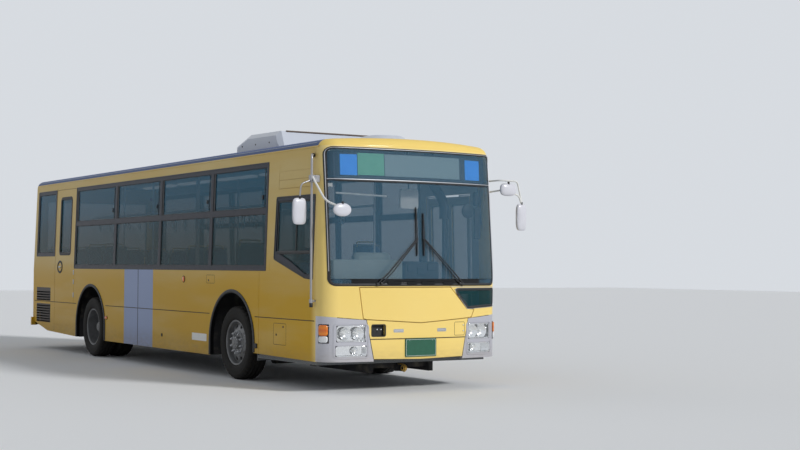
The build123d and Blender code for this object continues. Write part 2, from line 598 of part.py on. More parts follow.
def rails(x, z):
    """Two straight rails in the part being built."""
    for side in (LEFT, RIGHT):
        y = sorted((side * (RAIL_Y - RAIL_WIDTH / 2), side * (RAIL_Y + RAIL_WIDTH / 2)))
        span_box(x, y, z)


def crossmember(x, z, half_length=RAIL_Y):
    """One member across the bus in the part being built."""
    span_box((x - MEMBER_HALF_WIDTH, x + MEMBER_HALF_WIDTH), (-half_length, half_length), z)


with BuildPart() as underframe:
    rails(MIDDLE_LADDER_X, LOW_RAIL_Z)
    for x in OUTRIGGERS:
        crossmember(x, (LOW_RAIL_Z[1] - OUTRIGGER_DEPTH, LOW_RAIL_Z[1]), HALF_WIDTH - WALL)
        crossmember(x, (MEMBER_Z, LOW_RAIL_Z[1]))
save(underframe.part, "underframe")

with BuildPart() as underframe_front:
    rails(FRONT_LADDER_X, LOW_RAIL_Z)
    for x in FRONT_CROSSMEMBERS:
        crossmember(x, (MEMBER_Z, LOW_RAIL_Z[1]))
    with BuildSketch(Plane.XZ):
        with Locations((TOW_EYE[0] - TOW_TONGUE[1] / 2, TOW_EYE[1])):
            SlotOverall(*TOW_TONGUE)
        with Locations(TOW_EYE):
            Circle(TOW_EYE_RADIUS, mode=Mode.SUBTRACT)
    extrude(amount=TOW_EYE_THICKNESS / 2, both=True)
    span_box((FRONT_CROSSMEMBERS[-1] + MEMBER_HALF_WIDTH, TOW_EYE[0] - TOW_TONGUE[1]),
             (-TOW_BLOCK_HALF_WIDTH, TOW_BLOCK_HALF_WIDTH),
             (TOW_EYE[1] - TOW_TONGUE[1] / 2, TOW_EYE[1] + TOW_TONGUE[1] / 2))
save(underframe_front.part, "underframe_front")

with BuildPart() as underframe_rear:
    for side in (LEFT, RIGHT):
        extrude(side_view(high_line, side * RAIL_Y), amount=RAIL_WIDTH / 2, both=True)
    for x in REAR_CROSSMEMBERS:
        crossmember(x, HIGH_RAIL_Z)
save(underframe_rear.part, "underframe_rear")

# Engine: one plain block between the rails, with a foot on each rail
ENGINE_X = (-5300.0, -4300.0)
ENGINE_Z = (430.0, 1080.0)
ENGINE_HALF_WIDTH = 340.0
ENGINE_ROUNDING = 60.0
ENGINE_FEET_X = [-5050.0, -4550.0]
FOOT_HALF = 60.0
FOOT_Z = (HIGH_RAIL_Z[0] + 40, HIGH_RAIL_Z[1] - 40)
with BuildPart() as engine:
    span_box(ENGINE_X, (-ENGINE_HALF_WIDTH, ENGINE_HALF_WIDTH), ENGINE_Z)
    fillet(engine.edges().filter_by(Axis.X), ENGINE_ROUNDING)
    for x in ENGINE_FEET_X:
        span_box((x - FOOT_HALF, x + FOOT_HALF), (-RAIL_Y + RAIL_WIDTH / 2, RAIL_Y - RAIL_WIDTH / 2), FOOT_Z)
save(engine.part, "engine")

# Front axle: dropped beam with a boss at each kingpin
BOSS_RADIUS = 50.0
BOSS_HALF_HEIGHT = 50.0
PIN_RADIUS = 22.0
PIN_CLEARANCE = 0.3
BEAM_Z = (190.0, 270.0)
BEAM_HALF_DEPTH = 45.0
ARM_HALF_HEIGHT = 40.0      # of the beam where it meets the boss
arm_z = (TYRE_RADIUS - ARM_HALF_HEIGHT, TYRE_RADIUS + ARM_HALF_HEIGHT)
# |Y| where the beam's top and bottom turn up, and where they turn level again
BEAM_TOP_Y = (560.0, 700.0)
BEAM_BOTTOM_Y = (620.0, 760.0)
CARRIER_HALF_DEPTH = 80.0
CARRIER_Y = (540.0, 740.0)  # |Y| of the block that carries each wheel housing
beam_half = [
    (BEAM_TOP_Y[0], BEAM_Z[1]), (BEAM_TOP_Y[1], arm_z[1]), (KINGPIN_Y, arm_z[1]), (KINGPIN_Y, arm_z[0]),
    (BEAM_BOTTOM_Y[1], arm_z[0]), (BEAM_BOTTOM_Y[0], BEAM_Z[0]),
]
with BuildPart() as front_axle:
    extrude(front_view([*beam_half, *reversed(mirrored(beam_half))], FRONT_AXLE_X), amount=BEAM_HALF_DEPTH, both=True)
    for side in (LEFT, RIGHT):
        with Locations((FRONT_AXLE_X, side * KINGPIN_Y, TYRE_RADIUS)):
            Cylinder(BOSS_RADIUS, 2 * BOSS_HALF_HEIGHT)
            Cylinder(PIN_RADIUS + PIN_CLEARANCE, REACH, mode=Mode.SUBTRACT)
        span_box((FRONT_AXLE_X - CARRIER_HALF_DEPTH, FRONT_AXLE_X + CARRIER_HALF_DEPTH),
                 sorted((side * CARRIER_Y[0], side * CARRIER_Y[1])), (TYRE_RADIUS, HOUSING_TOP_Z))
save(front_axle.part, "front_axle")

# Knuckles: a fork round the boss, a kingpin through it and a stub for the wheel
FORK_GAP = 5.0
FORK_THICKNESS = 40.0
WEB_Y = (60.0, 95.0)
STUB_RADIUS = 45.0
STUB_END = 230.0
fork_reach = BOSS_HALF_HEIGHT + FORK_GAP + FORK_THICKNESS
for side, name in ((LEFT, "knuckle_left"), (RIGHT, "knuckle_right")):
    with BuildPart() as knuckle:
        with Locations((FRONT_AXLE_X, side * KINGPIN_Y, TYRE_RADIUS)):
            Cylinder(PIN_RADIUS, 2 * fork_reach)
        for way in (1, -1):
            near = BOSS_HALF_HEIGHT + FORK_GAP
            middle = TYRE_RADIUS + way * (near + FORK_THICKNESS / 2)
            with Locations((FRONT_AXLE_X, side * KINGPIN_Y, middle)):
                Cylinder(BOSS_RADIUS, FORK_THICKNESS)
            span_box((FRONT_AXLE_X - BOSS_RADIUS, FRONT_AXLE_X + BOSS_RADIUS),
                     sorted((side * KINGPIN_Y, side * (KINGPIN_Y + WEB_Y[1]))),
                     (middle - FORK_THICKNESS / 2, middle + FORK_THICKNESS / 2))
        span_box((FRONT_AXLE_X - BOSS_RADIUS, FRONT_AXLE_X + BOSS_RADIUS),
                 sorted((side * (KINGPIN_Y + WEB_Y[0]), side * (KINGPIN_Y + WEB_Y[1]))),
                 (TYRE_RADIUS - fork_reach, TYRE_RADIUS + fork_reach))
        with BuildSketch(Plane.XZ.offset(-side * (KINGPIN_Y + WEB_Y[0]))):
            with Locations((FRONT_AXLE_X, TYRE_RADIUS)):
                Circle(STUB_RADIUS)
        extrude(amount=-side * (STUB_END - WEB_Y[0]))
    save(knuckle.part, name)

# Rear axle: tube with the differential in its middle
AXLE_TUBE_RADIUS = 75.0
CASE_RADIUS = 190.0
CASE_HALF_WIDTH = (80.0, 200.0)  # of the differential's rim, and out to the end of its cones
SPRING_SEAT_HALF = 60.0
with BuildPart() as rear_axle:
    with BuildSketch(Plane.XZ):
        with Locations((REAR_AXLE_X, TYRE_RADIUS)):
            Circle(AXLE_TUBE_RADIUS)
    extrude(amount=TWIN_Y, both=True)
    with BuildSketch(Plane.XY.offset(TYRE_RADIUS)):
        with BuildLine():
            Polyline((REAR_AXLE_X, -CASE_HALF_WIDTH[1]), (REAR_AXLE_X + AXLE_TUBE_RADIUS, -CASE_HALF_WIDTH[1]),
                     (REAR_AXLE_X + CASE_RADIUS, -CASE_HALF_WIDTH[0]), (REAR_AXLE_X + CASE_RADIUS, CASE_HALF_WIDTH[0]),
                     (REAR_AXLE_X + AXLE_TUBE_RADIUS, CASE_HALF_WIDTH[1]), (REAR_AXLE_X, CASE_HALF_WIDTH[1]), close=True)
        make_face()
    revolve(axis=Axis((REAR_AXLE_X, 0, TYRE_RADIUS), (0, 1, 0)))
    for side in (LEFT, RIGHT):
        span_box((REAR_AXLE_X - SPRING_SEAT_HALF, REAR_AXLE_X + SPRING_SEAT_HALF),
                 sorted((side * (RAIL_Y - RAIL_WIDTH / 2), side * (RAIL_Y + RAIL_WIDTH / 2))), (TYRE_RADIUS, HIGH_RAIL_Z[0]))
save(rear_axle.part, "rear_axle")

# Tyres and rims: revolved about the wheel's axis
TYRE_SHOULDER = 32.0
BULGE_RADIUS = 370.0        # where the side of the tyre is widest
BULGE_SETBACK = 10.0        # of the shoulder from the tyre's widest place
BEAD_HALF_WIDTH = 105.0
RIM_LIP = 6.0               # the rim reaches past the tyre's bead by this
RIM_WALL = 12.0
DISC_THICKNESS = 16.0
DISC_FLAT_RADIUS = 170.0    # flat middle of each disc
FRONT_DISC_OUT = (30.0, 70.0)  # of the front disc from the tyre's middle, at its rim and at its hub
TWIN_DISC_IN = 70.0         # how far a twin disc cones out from the middle to its rim
FRONT_HUB = (80.0, 85.0)    # radius of the hub behind the disc and in front of it
FRONT_HUB_OUT = 40.0
TWIN_BORE = 80.0
TWIN_HUB_RADIUS = 95.0
TWIN_HUB_OUT = 170.0
HOLE_CIRCLE = 220.0
HOLE_RADIUS = 30.0
HAND_HOLES = 10
AXLE_CLEARANCE = 5.0


def wheel_axis(axle_x):
    """The axis that a wheel turns on."""
    return Axis((axle_x, 0, TYRE_RADIUS), (0, 1, 0))


def revolve_tyre(axle_x, y):
    """One tyre in the part being built, its tread middle at y."""
    half = TYRE_WIDTH / 2
    profile = [(RIM_RADIUS, BEAD_HALF_WIDTH), (BULGE_RADIUS, half), (TYRE_RADIUS - TYRE_SHOULDER, half - BULGE_SETBACK),
               (TYRE_RADIUS, half - TYRE_SHOULDER)]
    near = [(axle_x + radius, y - across) for radius, across in profile]
    far = [(axle_x + radius, y + across) for radius, across in reversed(profile)]
    with BuildSketch(Plane.XY.offset(TYRE_RADIUS)) as section:
        with BuildLine():
            Polyline(*near, *far, close=True)
        make_face()
    revolve(section.sketch, axis=wheel_axis(axle_x))


def revolve_rim(axle_x, y, disc):
    """One rim in the part being built: a barrel and the disc of the given (radius, Y) points."""
    inner = RIM_RADIUS - RIM_WALL
    reach = BEAD_HALF_WIDTH + RIM_LIP
    barrel = [(inner, y - reach), (RIM_RADIUS, y - reach), (RIM_RADIUS, y + reach), (inner, y + reach)]
    with BuildSketch(Plane.XY.offset(TYRE_RADIUS)) as section:
        for outline in (barrel, disc):
            with BuildLine():
                Polyline(*[(axle_x + radius, across) for radius, across in outline], close=True)
            make_face()
    revolve(section.sketch, axis=wheel_axis(axle_x))


def cut_hand_holes(axle_x, side):
    """Cut the round hand holes through a wheel's disc."""
    with BuildSketch(Plane.XZ.offset(-side * (KINGPIN_Y - 200))) as holes:
        with Locations((axle_x, TYRE_RADIUS)):
            with PolarLocations(HOLE_CIRCLE, HAND_HOLES):
                Circle(HOLE_RADIUS)
    extrude(holes.sketch, amount=-side * REACH, mode=Mode.SUBTRACT)


for side, place in ((LEFT, "left"), (RIGHT, "right")):
    with BuildPart() as tyre:
        revolve_tyre(FRONT_AXLE_X, side * FRONT_TYRE_Y)
    save(tyre.part, f"tyre_front_{place}")

    with BuildPart() as tyres:
        for offset_y in (-TWIN_SPACING / 2, TWIN_SPACING / 2):
            revolve_tyre(REAR_AXLE_X, side * TWIN_Y + offset_y)
    save(tyres.part, f"tyres_rear_{place}")

    inner = RIM_RADIUS - RIM_WALL
    hub_y = FRONT_TYRE_Y + FRONT_DISC_OUT[1]
    edge_y = FRONT_TYRE_Y + FRONT_DISC_OUT[0]
    bore = STUB_RADIUS + AXLE_CLEARANCE
    front_disc = [
        (inner, side * edge_y), (inner + 2, side * (edge_y + DISC_THICKNESS)),
        (DISC_FLAT_RADIUS, side * (hub_y + DISC_THICKNESS)), (bore, side * (hub_y + DISC_THICKNESS)),
        (bore, side * hub_y), (DISC_FLAT_RADIUS, side * hub_y),
    ]
    with BuildPart() as rim:
        revolve_rim(FRONT_AXLE_X, side * FRONT_TYRE_Y, front_disc)
        cut_hand_holes(FRONT_AXLE_X, side)
        extrude(side_disc(FRONT_AXLE_X, side * (hub_y + DISC_THICKNESS), TYRE_RADIUS, FRONT_HUB[1]),
                amount=-side * FRONT_HUB_OUT, taper=12)
        hub_back_y = KINGPIN_Y + STUB_END + AXLE_CLEARANCE
        extrude(side_disc(FRONT_AXLE_X, side * hub_back_y, TYRE_RADIUS, FRONT_HUB[0]),
                amount=-side * (hub_y + DISC_THICKNESS - hub_back_y))
    save(rim.part, f"rim_front_{place}")

    with BuildPart() as rims:
        for out in (-1, 1):
            way = side * out
            middle = side * TWIN_Y
            twin_disc = [
                (inner + 2, middle + way * TWIN_DISC_IN), (inner + 2, middle + way * (TWIN_DISC_IN + DISC_THICKNESS)),
                (DISC_FLAT_RADIUS, middle + way * DISC_THICKNESS), (TWIN_BORE, middle + way * DISC_THICKNESS),
                (TWIN_BORE, middle), (DISC_FLAT_RADIUS, middle),
            ]
            revolve_rim(REAR_AXLE_X, middle + way * TWIN_SPACING / 2, twin_disc)
        cut_hand_holes(REAR_AXLE_X, side)
        extrude(side_disc(REAR_AXLE_X, side * (TWIN_Y + AXLE_CLEARANCE), TYRE_RADIUS, TWIN_HUB_RADIUS),
                amount=-side * TWIN_HUB_OUT, taper=5)
    save(rims.part, f"rims_rear_{place}")

# Front door: posts with arms at the jambs, and leaves that turn on them
post_y = HALF_WIDTH - POST_DEPTH
door_middle_x = (FRONT_DOOR_X[0] + FRONT_DOOR_X[1]) / 2
post_inset = POST_RADIUS + POST_CLEARANCE
door_half = door_middle_x - FRONT_DOOR_X[0]
arm_length = (door_half - LEAF_MIDDLE_GAP) / 2
leaf_half = arm_length - POST_RADIUS - POST_CLEARANCE
low_arm_z = LOW_FLOOR_Z + ARM_CLEARANCE
high_arm_z = DOOR_TOP_Z - ARM_CLEARANCE - ARM_THICKNESS
LEAF_Z = (low_arm_z + ARM_THICKNESS + ARM_CLEARANCE, high_arm_z - ARM_CLEARANCE)
LEAF_WINDOW_Z = (760.0, 2290.0)
LEAF_STILE = 60.0
BRACKET = 46.0
BRACKET_HEIGHT = 14.0

# name, jamb X, direction towards the middle of the doorway
DOOR_SIDES = [("rear", FRONT_DOOR_X[0], 1), ("front", FRONT_DOOR_X[1], -1)]
for name, jamb_x, way in DOOR_SIDES:
    post_x = jamb_x + way * post_inset
    pivot_x = post_x + way * arm_length
    with BuildPart() as post:
        with Locations((post_x, post_y, (LOW_FLOOR_Z + DOOR_TOP_Z) / 2)):
            Cylinder(POST_RADIUS, DOOR_TOP_Z - LOW_FLOOR_Z - 2)
        for z in (low_arm_z, high_arm_z):
            span_box(sorted((post_x, pivot_x)), (post_y - ARM_WIDTH / 2, post_y + ARM_WIDTH / 2),
                     (z, z + ARM_THICKNESS))
            with Locations((pivot_x, post_y, z + ARM_THICKNESS / 2)):
                Cylinder(ARM_WIDTH / 2 + 2, ARM_THICKNESS)
                Cylinder(PIVOT_RADIUS + PIN_CLEARANCE, 2 * ARM_THICKNESS, mode=Mode.SUBTRACT)
    save(post.part, f"door_post_{name}")

    leaf_x = (pivot_x - leaf_half, pivot_x + leaf_half)
    window_x = (leaf_x[0] + LEAF_STILE, leaf_x[1] - LEAF_STILE)
    with BuildPart() as leaf:
        add(body_band(LEAF_DEPTH, LEAF_DEPTH + LEAF_THICKNESS, leaf_x, side_span(LEFT), LEAF_Z))
        span_box(window_x, side_span(LEFT), LEAF_WINDOW_Z, mode=Mode.SUBTRACT)
        # brackets at the foot and the head, with the pins that turn in the arms
        for z in (LEAF_Z[0], LEAF_Z[1] - BRACKET_HEIGHT):
            span_box((pivot_x - BRACKET / 2, pivot_x + BRACKET / 2),
                     (post_y - ARM_WIDTH / 2, HALF_WIDTH - LEAF_DEPTH - LEAF_THICKNESS / 2),
                     (z, z + BRACKET_HEIGHT))
        add(body_form(LEAF_DEPTH), mode=Mode.INTERSECT)
        for z0, z1 in ((low_arm_z, LEAF_Z[0]), (LEAF_Z[1], high_arm_z + ARM_THICKNESS)):
            with Locations((pivot_x, post_y, (z0 + z1) / 2)):
                Cylinder(PIVOT_RADIUS, z1 - z0)
    save(leaf.part, f"door_leaf_{name}")

    with BuildPart() as leaf_glass:
        add(body_band(LEAF_DEPTH + 12, LEAF_DEPTH + 12 + GLASS, window_x, side_span(LEFT), LEAF_WINDOW_Z))
    save(leaf_glass.part, f"door_glass_{name}")

# Middle door: one leaf that slides forward inside the side wall
slide_x = (MIDDLE_DOOR_X[0] - SLIDE_OVERLAP, MIDDLE_DOOR_X[1] + SLIDE_OVERLAP)
slide_window_x = (MIDDLE_DOOR_X[0] + LEAF_STILE, MIDDLE_DOOR_X[1] - LEAF_STILE)
with BuildPart() as door_middle:
    add(body_band(SLIDE_DEPTH, SLIDE_DEPTH + LEAF_THICKNESS, slide_x, side_span(LEFT),
                  (LOW_FLOOR_Z + SLIDE_FLOOR_GAP, DOOR_TOP_Z + SLIDE_OVERLAP)))
    span_box(slide_window_x, side_span(LEFT), LEAF_WINDOW_Z, mode=Mode.SUBTRACT)
save(door_middle.part, "door_middle")

with BuildPart() as door_glass_middle:
    add(body_band(SLIDE_DEPTH + 12, SLIDE_DEPTH + 12 + GLASS, slide_window_x, side_span(LEFT), LEAF_WINDOW_Z))
save(door_glass_middle.part, "door_glass_middle")

# Emergency door: hinged at its front edge, with its own window
with BuildPart() as emergency_door:
    add(body_band(0, WALL, EMERGENCY_X, side_span(RIGHT), EMERGENCY_Z))
    span_box(EMERGENCY_WINDOW_X, side_span(RIGHT), EMERGENCY_WINDOW_Z, mode=Mode.SUBTRACT)
save(emergency_door.part, "emergency_door")

with BuildPart() as emergency_glass:
    add(body_band(PANE_DEPTH, PANE_DEPTH + GLASS, EMERGENCY_WINDOW_X, side_span(RIGHT), EMERGENCY_WINDOW_Z))
save(emergency_glass.part, "emergency_glass")

# Roof units: air conditioner and a low ventilator dome near the front
AC_HALF_WIDTH = 830.0
AC_CORNER = 130.0           # rounding of its corners in plan
AC_EDGE = 60.0              # bevel along the top of its sides
ac_line = [(2080, 2980), (2100, 3130), (2500, 3250), (3370, 3240), (3490, 2980)]
DOME_CENTRE = (4500.0, 80.0)
DOME_SIZE = (900.0, 860.0)
DOME_HEIGHT = 100.0
DOME_TAPER = 60.0
with BuildPart() as roof_units:
    extrude(side_view(ac_line), amount=AC_HALF_WIDTH, both=True)
    top_edges = roof_units.faces().filter_by(Axis.Y).edges().filter_by(lambda edge: edge.center().Z > 3100)
    chamfer(top_edges, AC_EDGE)
    with BuildSketch(Plane.XY.offset(2900)):
        with Locations(((ac_line[0][0] + ac_line[-1][0]) / 2, 0)):
            RectangleRounded(ac_line[-1][0] - ac_line[0][0], 2 * AC_HALF_WIDTH, AC_CORNER)
    extrude(amount=500, mode=Mode.INTERSECT)
    with BuildSketch(Plane.XY.offset(CROWN_Z - 20)):
        with Locations(DOME_CENTRE):
            RectangleRounded(*DOME_SIZE, 0.45 * DOME_SIZE[1])
    extrude(amount=DOME_HEIGHT + 20, taper=DOME_TAPER)
    add(body_form(0), mode=Mode.SUBTRACT)
save(roof_units.part, "roof_units")

# Mirrors: a pipe off the right front corner carries two heads on thin arms, and the left
# corner carries two more on a bent double arm
PIPE_RADIUS = 17.0
ARM_RADIUS = 11.0
POLE = (5175.0, -1300.0)
POLE_Z = (1016.0, 2790.0)
POLE_END = (5060.0, -1215.0)
POLE_BEND = 60.0
HEAD_ROUNDING = 0.3         # of a head's shorter side
# brackets of the pole: half length, reach past the pole, depth in the body, lowest Z, highest Z
POLE_BRACKETS = [(20.0, 0.0, 12.0, 1060.0, 1090.0), (35.0, 25.0, 50.0, 2460.0, 2550.0)]
# points of each arm, radius of its bends
MIRROR_ARMS = [
    ([(*POLE, 2490), (POLE[0], -1450, 2440), (5160, -1450, 2120)], 50.0),
    ([(*POLE, 2520), (5450, -1270, 2240), (5640, -1150, 2150)], 60.0),
    ([(5185, 1190, 2560), (5400, 1260, 2570), (5470, 1500, 2560), (5480, 1560, 2300)], 40.0),
    ([(5185, 1190, 2420), (5440, 1300, 2450), (5480, 1560, 2350), (5480, 1560, 2200)], 40.0),
]
# X, Y and Z of the middle, width, height, depth
MIRROR_HEADS = [
    ((5160, -1450, 2120), 175, 310, 44),
    ((5640, -1150, 2130), 230, 150, 50),
    ((5480, 1540, 2110), 150, 340, 50),
    ((5500, 1320, 2450), 230, 150, 60),
]


def pipe(points, radius, bend):
    """A bent pipe through the points in the part being built."""
    with BuildLine() as path:
        if bend:
            FilletPolyline(*points, radius=bend)
        else:
            Line(*points)
    with BuildSketch(Plane(origin=path.line @ 0, z_dir=path.line % 0)) as section:
        Circle(radius)
    sweep(section.sketch, path=path.line)


def mirror_head(centre, width, height, depth):
    """A mirror with rounded corners, its glass facing back."""
    with BuildSketch(Plane.YZ.offset(centre[0])) as outline:
        with Locations((centre[1], centre[2])):
            RectangleRounded(width, height, HEAD_ROUNDING * min(width, height))
    extrude(outline.sketch, amount=depth / 2, both=True)


with BuildPart() as mirrors:
    pipe([(*POLE, POLE_Z[0]), (*POLE, POLE_Z[1]), (*POLE_END, POLE_Z[1])], PIPE_RADIUS, POLE_BEND)
    for half_length, reach, depth, low_z, high_z in POLE_BRACKETS:
        span_box((POLE[0] - half_length, POLE[0] + half_length), (POLE[1] - reach, -HALF_WIDTH + depth), (low_z, high_z))
    for points, bend in MIRROR_ARMS:
        pipe(points, ARM_RADIUS, bend)
    for head in MIRROR_HEADS:
        mirror_head(*head)
    add(body_form(0), mode=Mode.SUBTRACT)
save(mirrors.part, "mirrors")

# Wipers: pivot, arm and blade in front of the windscreen
WIPER_X = 5545.0
WIPER_ROOT_X = 5440.0
WIPER_ARM_RADIUS = 10.0
PIVOT_SIZE = (44.0, 36.0)
BLADE_WIDTH = 24.0
BLADE_DEPTH = (45.0, 5.0)   # from WIPER_X back to the blade's rear and front faces
# pivot Y, Z of the pivot, Y and Z where the arm meets the blade, lowest and highest Z of the blade
WIPERS = [(-590.0, 1272.0, -60.0, 1815.0, 1610.0, 2190.0), (620.0, 1272.0, 40.0, 1815.0, 1610.0, 2120.0)]
with BuildPart() as wipers:
    for pivot_y, pivot_z, blade_y, joint_z, blade_low, blade_high in WIPERS:
        span_box((WIPER_ROOT_X, WIPER_X), (pivot_y - PIVOT_SIZE[0] / 2, pivot_y + PIVOT_SIZE[0] / 2),
                 (pivot_z - PIVOT_SIZE[1] / 2, pivot_z + PIVOT_SIZE[1] / 2))
        arm_x = WIPER_X - WIPER_ARM_RADIUS - 2
        pipe([(arm_x, pivot_y, pivot_z), (arm_x, blade_y, joint_z)], WIPER_ARM_RADIUS, 0)
        span_box((WIPER_X - BLADE_DEPTH[0], WIPER_X - BLADE_DEPTH[1]),
                 (blade_y - BLADE_WIDTH / 2, blade_y + BLADE_WIDTH / 2), (blade_low, blade_high))
    add(body_form(0), mode=Mode.SUBTRACT)
save(wipers.part, "wipers")

# Dashboard: a long shelf under the windscreen, its back sloping in to the driver's feet
DASH_Y = (-HALF_WIDTH + WALL + 60.0, 560.0)
dash_line = [
    (5180, LOW_FLOOR_Z), (5240, 1150), (5140, 1200), (4880, 1150), (4820, 1000), (4960, 900), (5000, LOW_FLOOR_Z),
]
with BuildPart() as dashboard:
    extrude(side_view(dash_line, DASH_Y[0]), amount=DASH_Y[0] - DASH_Y[1])
save(dashboard.part, "dashboard")

# Steering wheel on its column
STEER_CENTRE = (4600.0, -640.0, 1230.0)
STEER_RADIUS = 240.0
STEER_RIM_RADIUS = 16.0
STEER_TILT = 24.0
STEER_BOSS = (70.0, 40.0)   # radius and height
SPOKE = (36.0, 16.0)        # width and thickness
COLUMN_RADIUS = 34.0
COLUMN_LENGTH = 720.0
PLATFORM_X = (3640.0, 4955.0)
PLATFORM_Y = (-HALF_WIDTH + WALL, -200.0)
PLATFORM_Z = 600.0
with BuildPart() as steering_wheel:
    steer_plane = Plane(origin=STEER_CENTRE, z_dir=(-sin(radians(STEER_TILT)), 0, cos(radians(STEER_TILT))))
    with Locations(steer_plane):
        Torus(STEER_RADIUS, STEER_RIM_RADIUS)
        Cylinder(*STEER_BOSS)
        with PolarLocations(0, 3, start_angle=90):
            with Locations((STEER_RADIUS / 2, 0, 0)):
                Box(STEER_RADIUS - STEER_RIM_RADIUS / 2, *SPOKE)
        with Locations((0, 0, -COLUMN_LENGTH / 2)):
            Cylinder(COLUMN_RADIUS, COLUMN_LENGTH)
    span_box((PLATFORM_X[0], FRONT_X), (-HALF_WIDTH, 0), (LOW_FLOOR_Z, PLATFORM_Z), mode=Mode.SUBTRACT)
save(steering_wheel.part, "steering_wheel")

# Seats: each is a moulded shell, a cushion and a back in one, on a pedestal
SEAT_WIDTH = 440.0
SHELL_RISE = 340.0          # from the floor up to a seat's shell
PEDESTAL_X = (120.0, 280.0)
PEDESTAL_WIDTH = 180.0
seat_line = [
    (0, 0), (430, 20), (430, 110), (90, 90), (20, 620), (-60, 620), (-50, 60),
]


def seat(x, y, base_z, floor_z):
    """One seat in the part being built, facing forward from x, its shell standing at base_z."""
    points = [(x + along, base_z + up) for along, up in seat_line]
    extrude(side_view(points, y - SEAT_WIDTH / 2), amount=-SEAT_WIDTH)
    if base_z > floor_z:
        span_box((x + PEDESTAL_X[0], x + PEDESTAL_X[1]), (y - PEDESTAL_WIDTH / 2, y + PEDESTAL_WIDTH / 2),
                 (floor_z, base_z + 10))


# Driver's platform on the right, behind the dashboard
with BuildPart() as driver_platform:
    span_box(PLATFORM_X, PLATFORM_Y, (LOW_FLOOR_Z, PLATFORM_Z))
save(driver_platform.part, "driver_platform")

HOUSING_SEAT_Z = HOUSING_TOP_Z + HOUSING_WALL
# X of the back, |Y| of the middle, height of the shell, floor height, sides
SEATS = [
    (2800.0, 900.0, HOUSING_SEAT_Z, HOUSING_SEAT_Z, (LEFT, RIGHT)),
    (1500.0, 940.0, LOW_FLOOR_Z + SHELL_RISE, LOW_FLOOR_Z, (LEFT, RIGHT)),
    (700.0, 940.0, LOW_FLOOR_Z + SHELL_RISE, LOW_FLOOR_Z, (RIGHT,)),
    (-100.0, 940.0, LOW_FLOOR_Z + SHELL_RISE, LOW_FLOOR_Z, (RIGHT,)),
    (-900.0, 940.0, LOW_FLOOR_Z + SHELL_RISE, LOW_FLOOR_Z, (RIGHT,)),
    (-2200.0, 900.0, HOUSING_SEAT_Z, HOUSING_SEAT_Z, (LEFT, RIGHT)),
    (-2950.0, 900.0, HOUSING_SEAT_Z, HOUSING_SEAT_Z, (LEFT, RIGHT)),
    (-3750.0, 940.0, REAR_FLOOR_Z + SHELL_RISE, REAR_FLOOR_Z, (LEFT,)),
    (-3750.0, 480.0, REAR_FLOOR_Z + SHELL_RISE, REAR_FLOOR_Z, (LEFT,)),
    (-4850.0, 920.0, BENCH_FLOOR_Z, BENCH_FLOOR_Z, (LEFT, RIGHT)),
    (-4850.0, 460.0, BENCH_FLOOR_Z, BENCH_FLOOR_Z, (LEFT, RIGHT)),
]
DRIVER_SEAT = (3960.0, -640.0)
with BuildPart() as seats:
    seat(*DRIVER_SEAT, PLATFORM_Z + SHELL_RISE, PLATFORM_Z)
    for x, y, base_z, floor_z, sides in SEATS:
        for side in sides:
            seat(x, side * y, base_z, floor_z)
    seat(-4850.0, 0.0, BENCH_FLOOR_Z, BENCH_FLOOR_Z)
save(seats.part, "seats")

# Grab poles: uprights from the floor to the ceiling, and a rail on each side
POLE_RADIUS = 16.0
CEILING_Z = CROWN_Z - WALL - 40
HAND_RAIL_X = (-4000.0, 3400.0)
HAND_RAIL = (600.0, 2300.0)  # |Y| and Z
# X, Y, floor height
POLES = [(3680.0, 470.0, LOW_FLOOR_Z), (3680.0, -400.0, PLATFORM_Z), (500.0, -640.0, LOW_FLOOR_Z),
         (-950.0, 700.0, LOW_FLOOR_Z), (-1580.0, -500.0, LOW_FLOOR_Z), (-1900.0, 400.0, REAR_FLOOR_Z),
         (-3100.0, -400.0, REAR_FLOOR_Z)]
with BuildPart() as grab_poles:
    for x, y, z in POLES:
        with Locations((x, y, (z + CEILING_Z) / 2)):
            Cylinder(POLE_RADIUS, CEILING_Z - z)
    for side in (LEFT, RIGHT):
        with BuildSketch(Plane.YZ.offset(HAND_RAIL_X[0])):
            with Locations((side * HAND_RAIL[0], HAND_RAIL[1])):
                Circle(POLE_RADIUS)
        extrude(amount=HAND_RAIL_X[1] - HAND_RAIL_X[0])
save(grab_poles.part, "grab_poles")
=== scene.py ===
from itertools import product
from math import atan2, ceil, copysign, cos, pi, radians, sin, sqrt, tan

import bmesh
import bpy
from mathutils import Matrix, Vector


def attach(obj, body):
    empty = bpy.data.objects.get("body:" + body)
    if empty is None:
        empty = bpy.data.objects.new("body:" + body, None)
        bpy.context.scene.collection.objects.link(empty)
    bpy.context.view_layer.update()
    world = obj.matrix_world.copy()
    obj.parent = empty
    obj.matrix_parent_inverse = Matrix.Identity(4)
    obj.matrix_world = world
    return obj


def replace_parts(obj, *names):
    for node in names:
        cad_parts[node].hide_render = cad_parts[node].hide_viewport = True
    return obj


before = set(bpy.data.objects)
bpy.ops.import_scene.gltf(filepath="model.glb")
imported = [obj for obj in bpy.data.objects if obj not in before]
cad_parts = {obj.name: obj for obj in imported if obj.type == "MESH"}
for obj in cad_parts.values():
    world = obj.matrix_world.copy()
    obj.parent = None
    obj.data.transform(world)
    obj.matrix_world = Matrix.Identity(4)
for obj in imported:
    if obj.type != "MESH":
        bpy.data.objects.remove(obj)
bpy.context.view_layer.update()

# Camera: it stands ahead of the bus on its right-hand side, a little below a driver's eyes,
# and looks along the right side and the front at once, as the photograph does.
CAMERA_PLACE = Vector((19.427, -9.104, 1.481))
CAMERA_YAW = 2.576987
CAMERA_PITCH = 0.029964
CAMERA_ROLL = 0.005105
CAMERA_LENS = 62.52

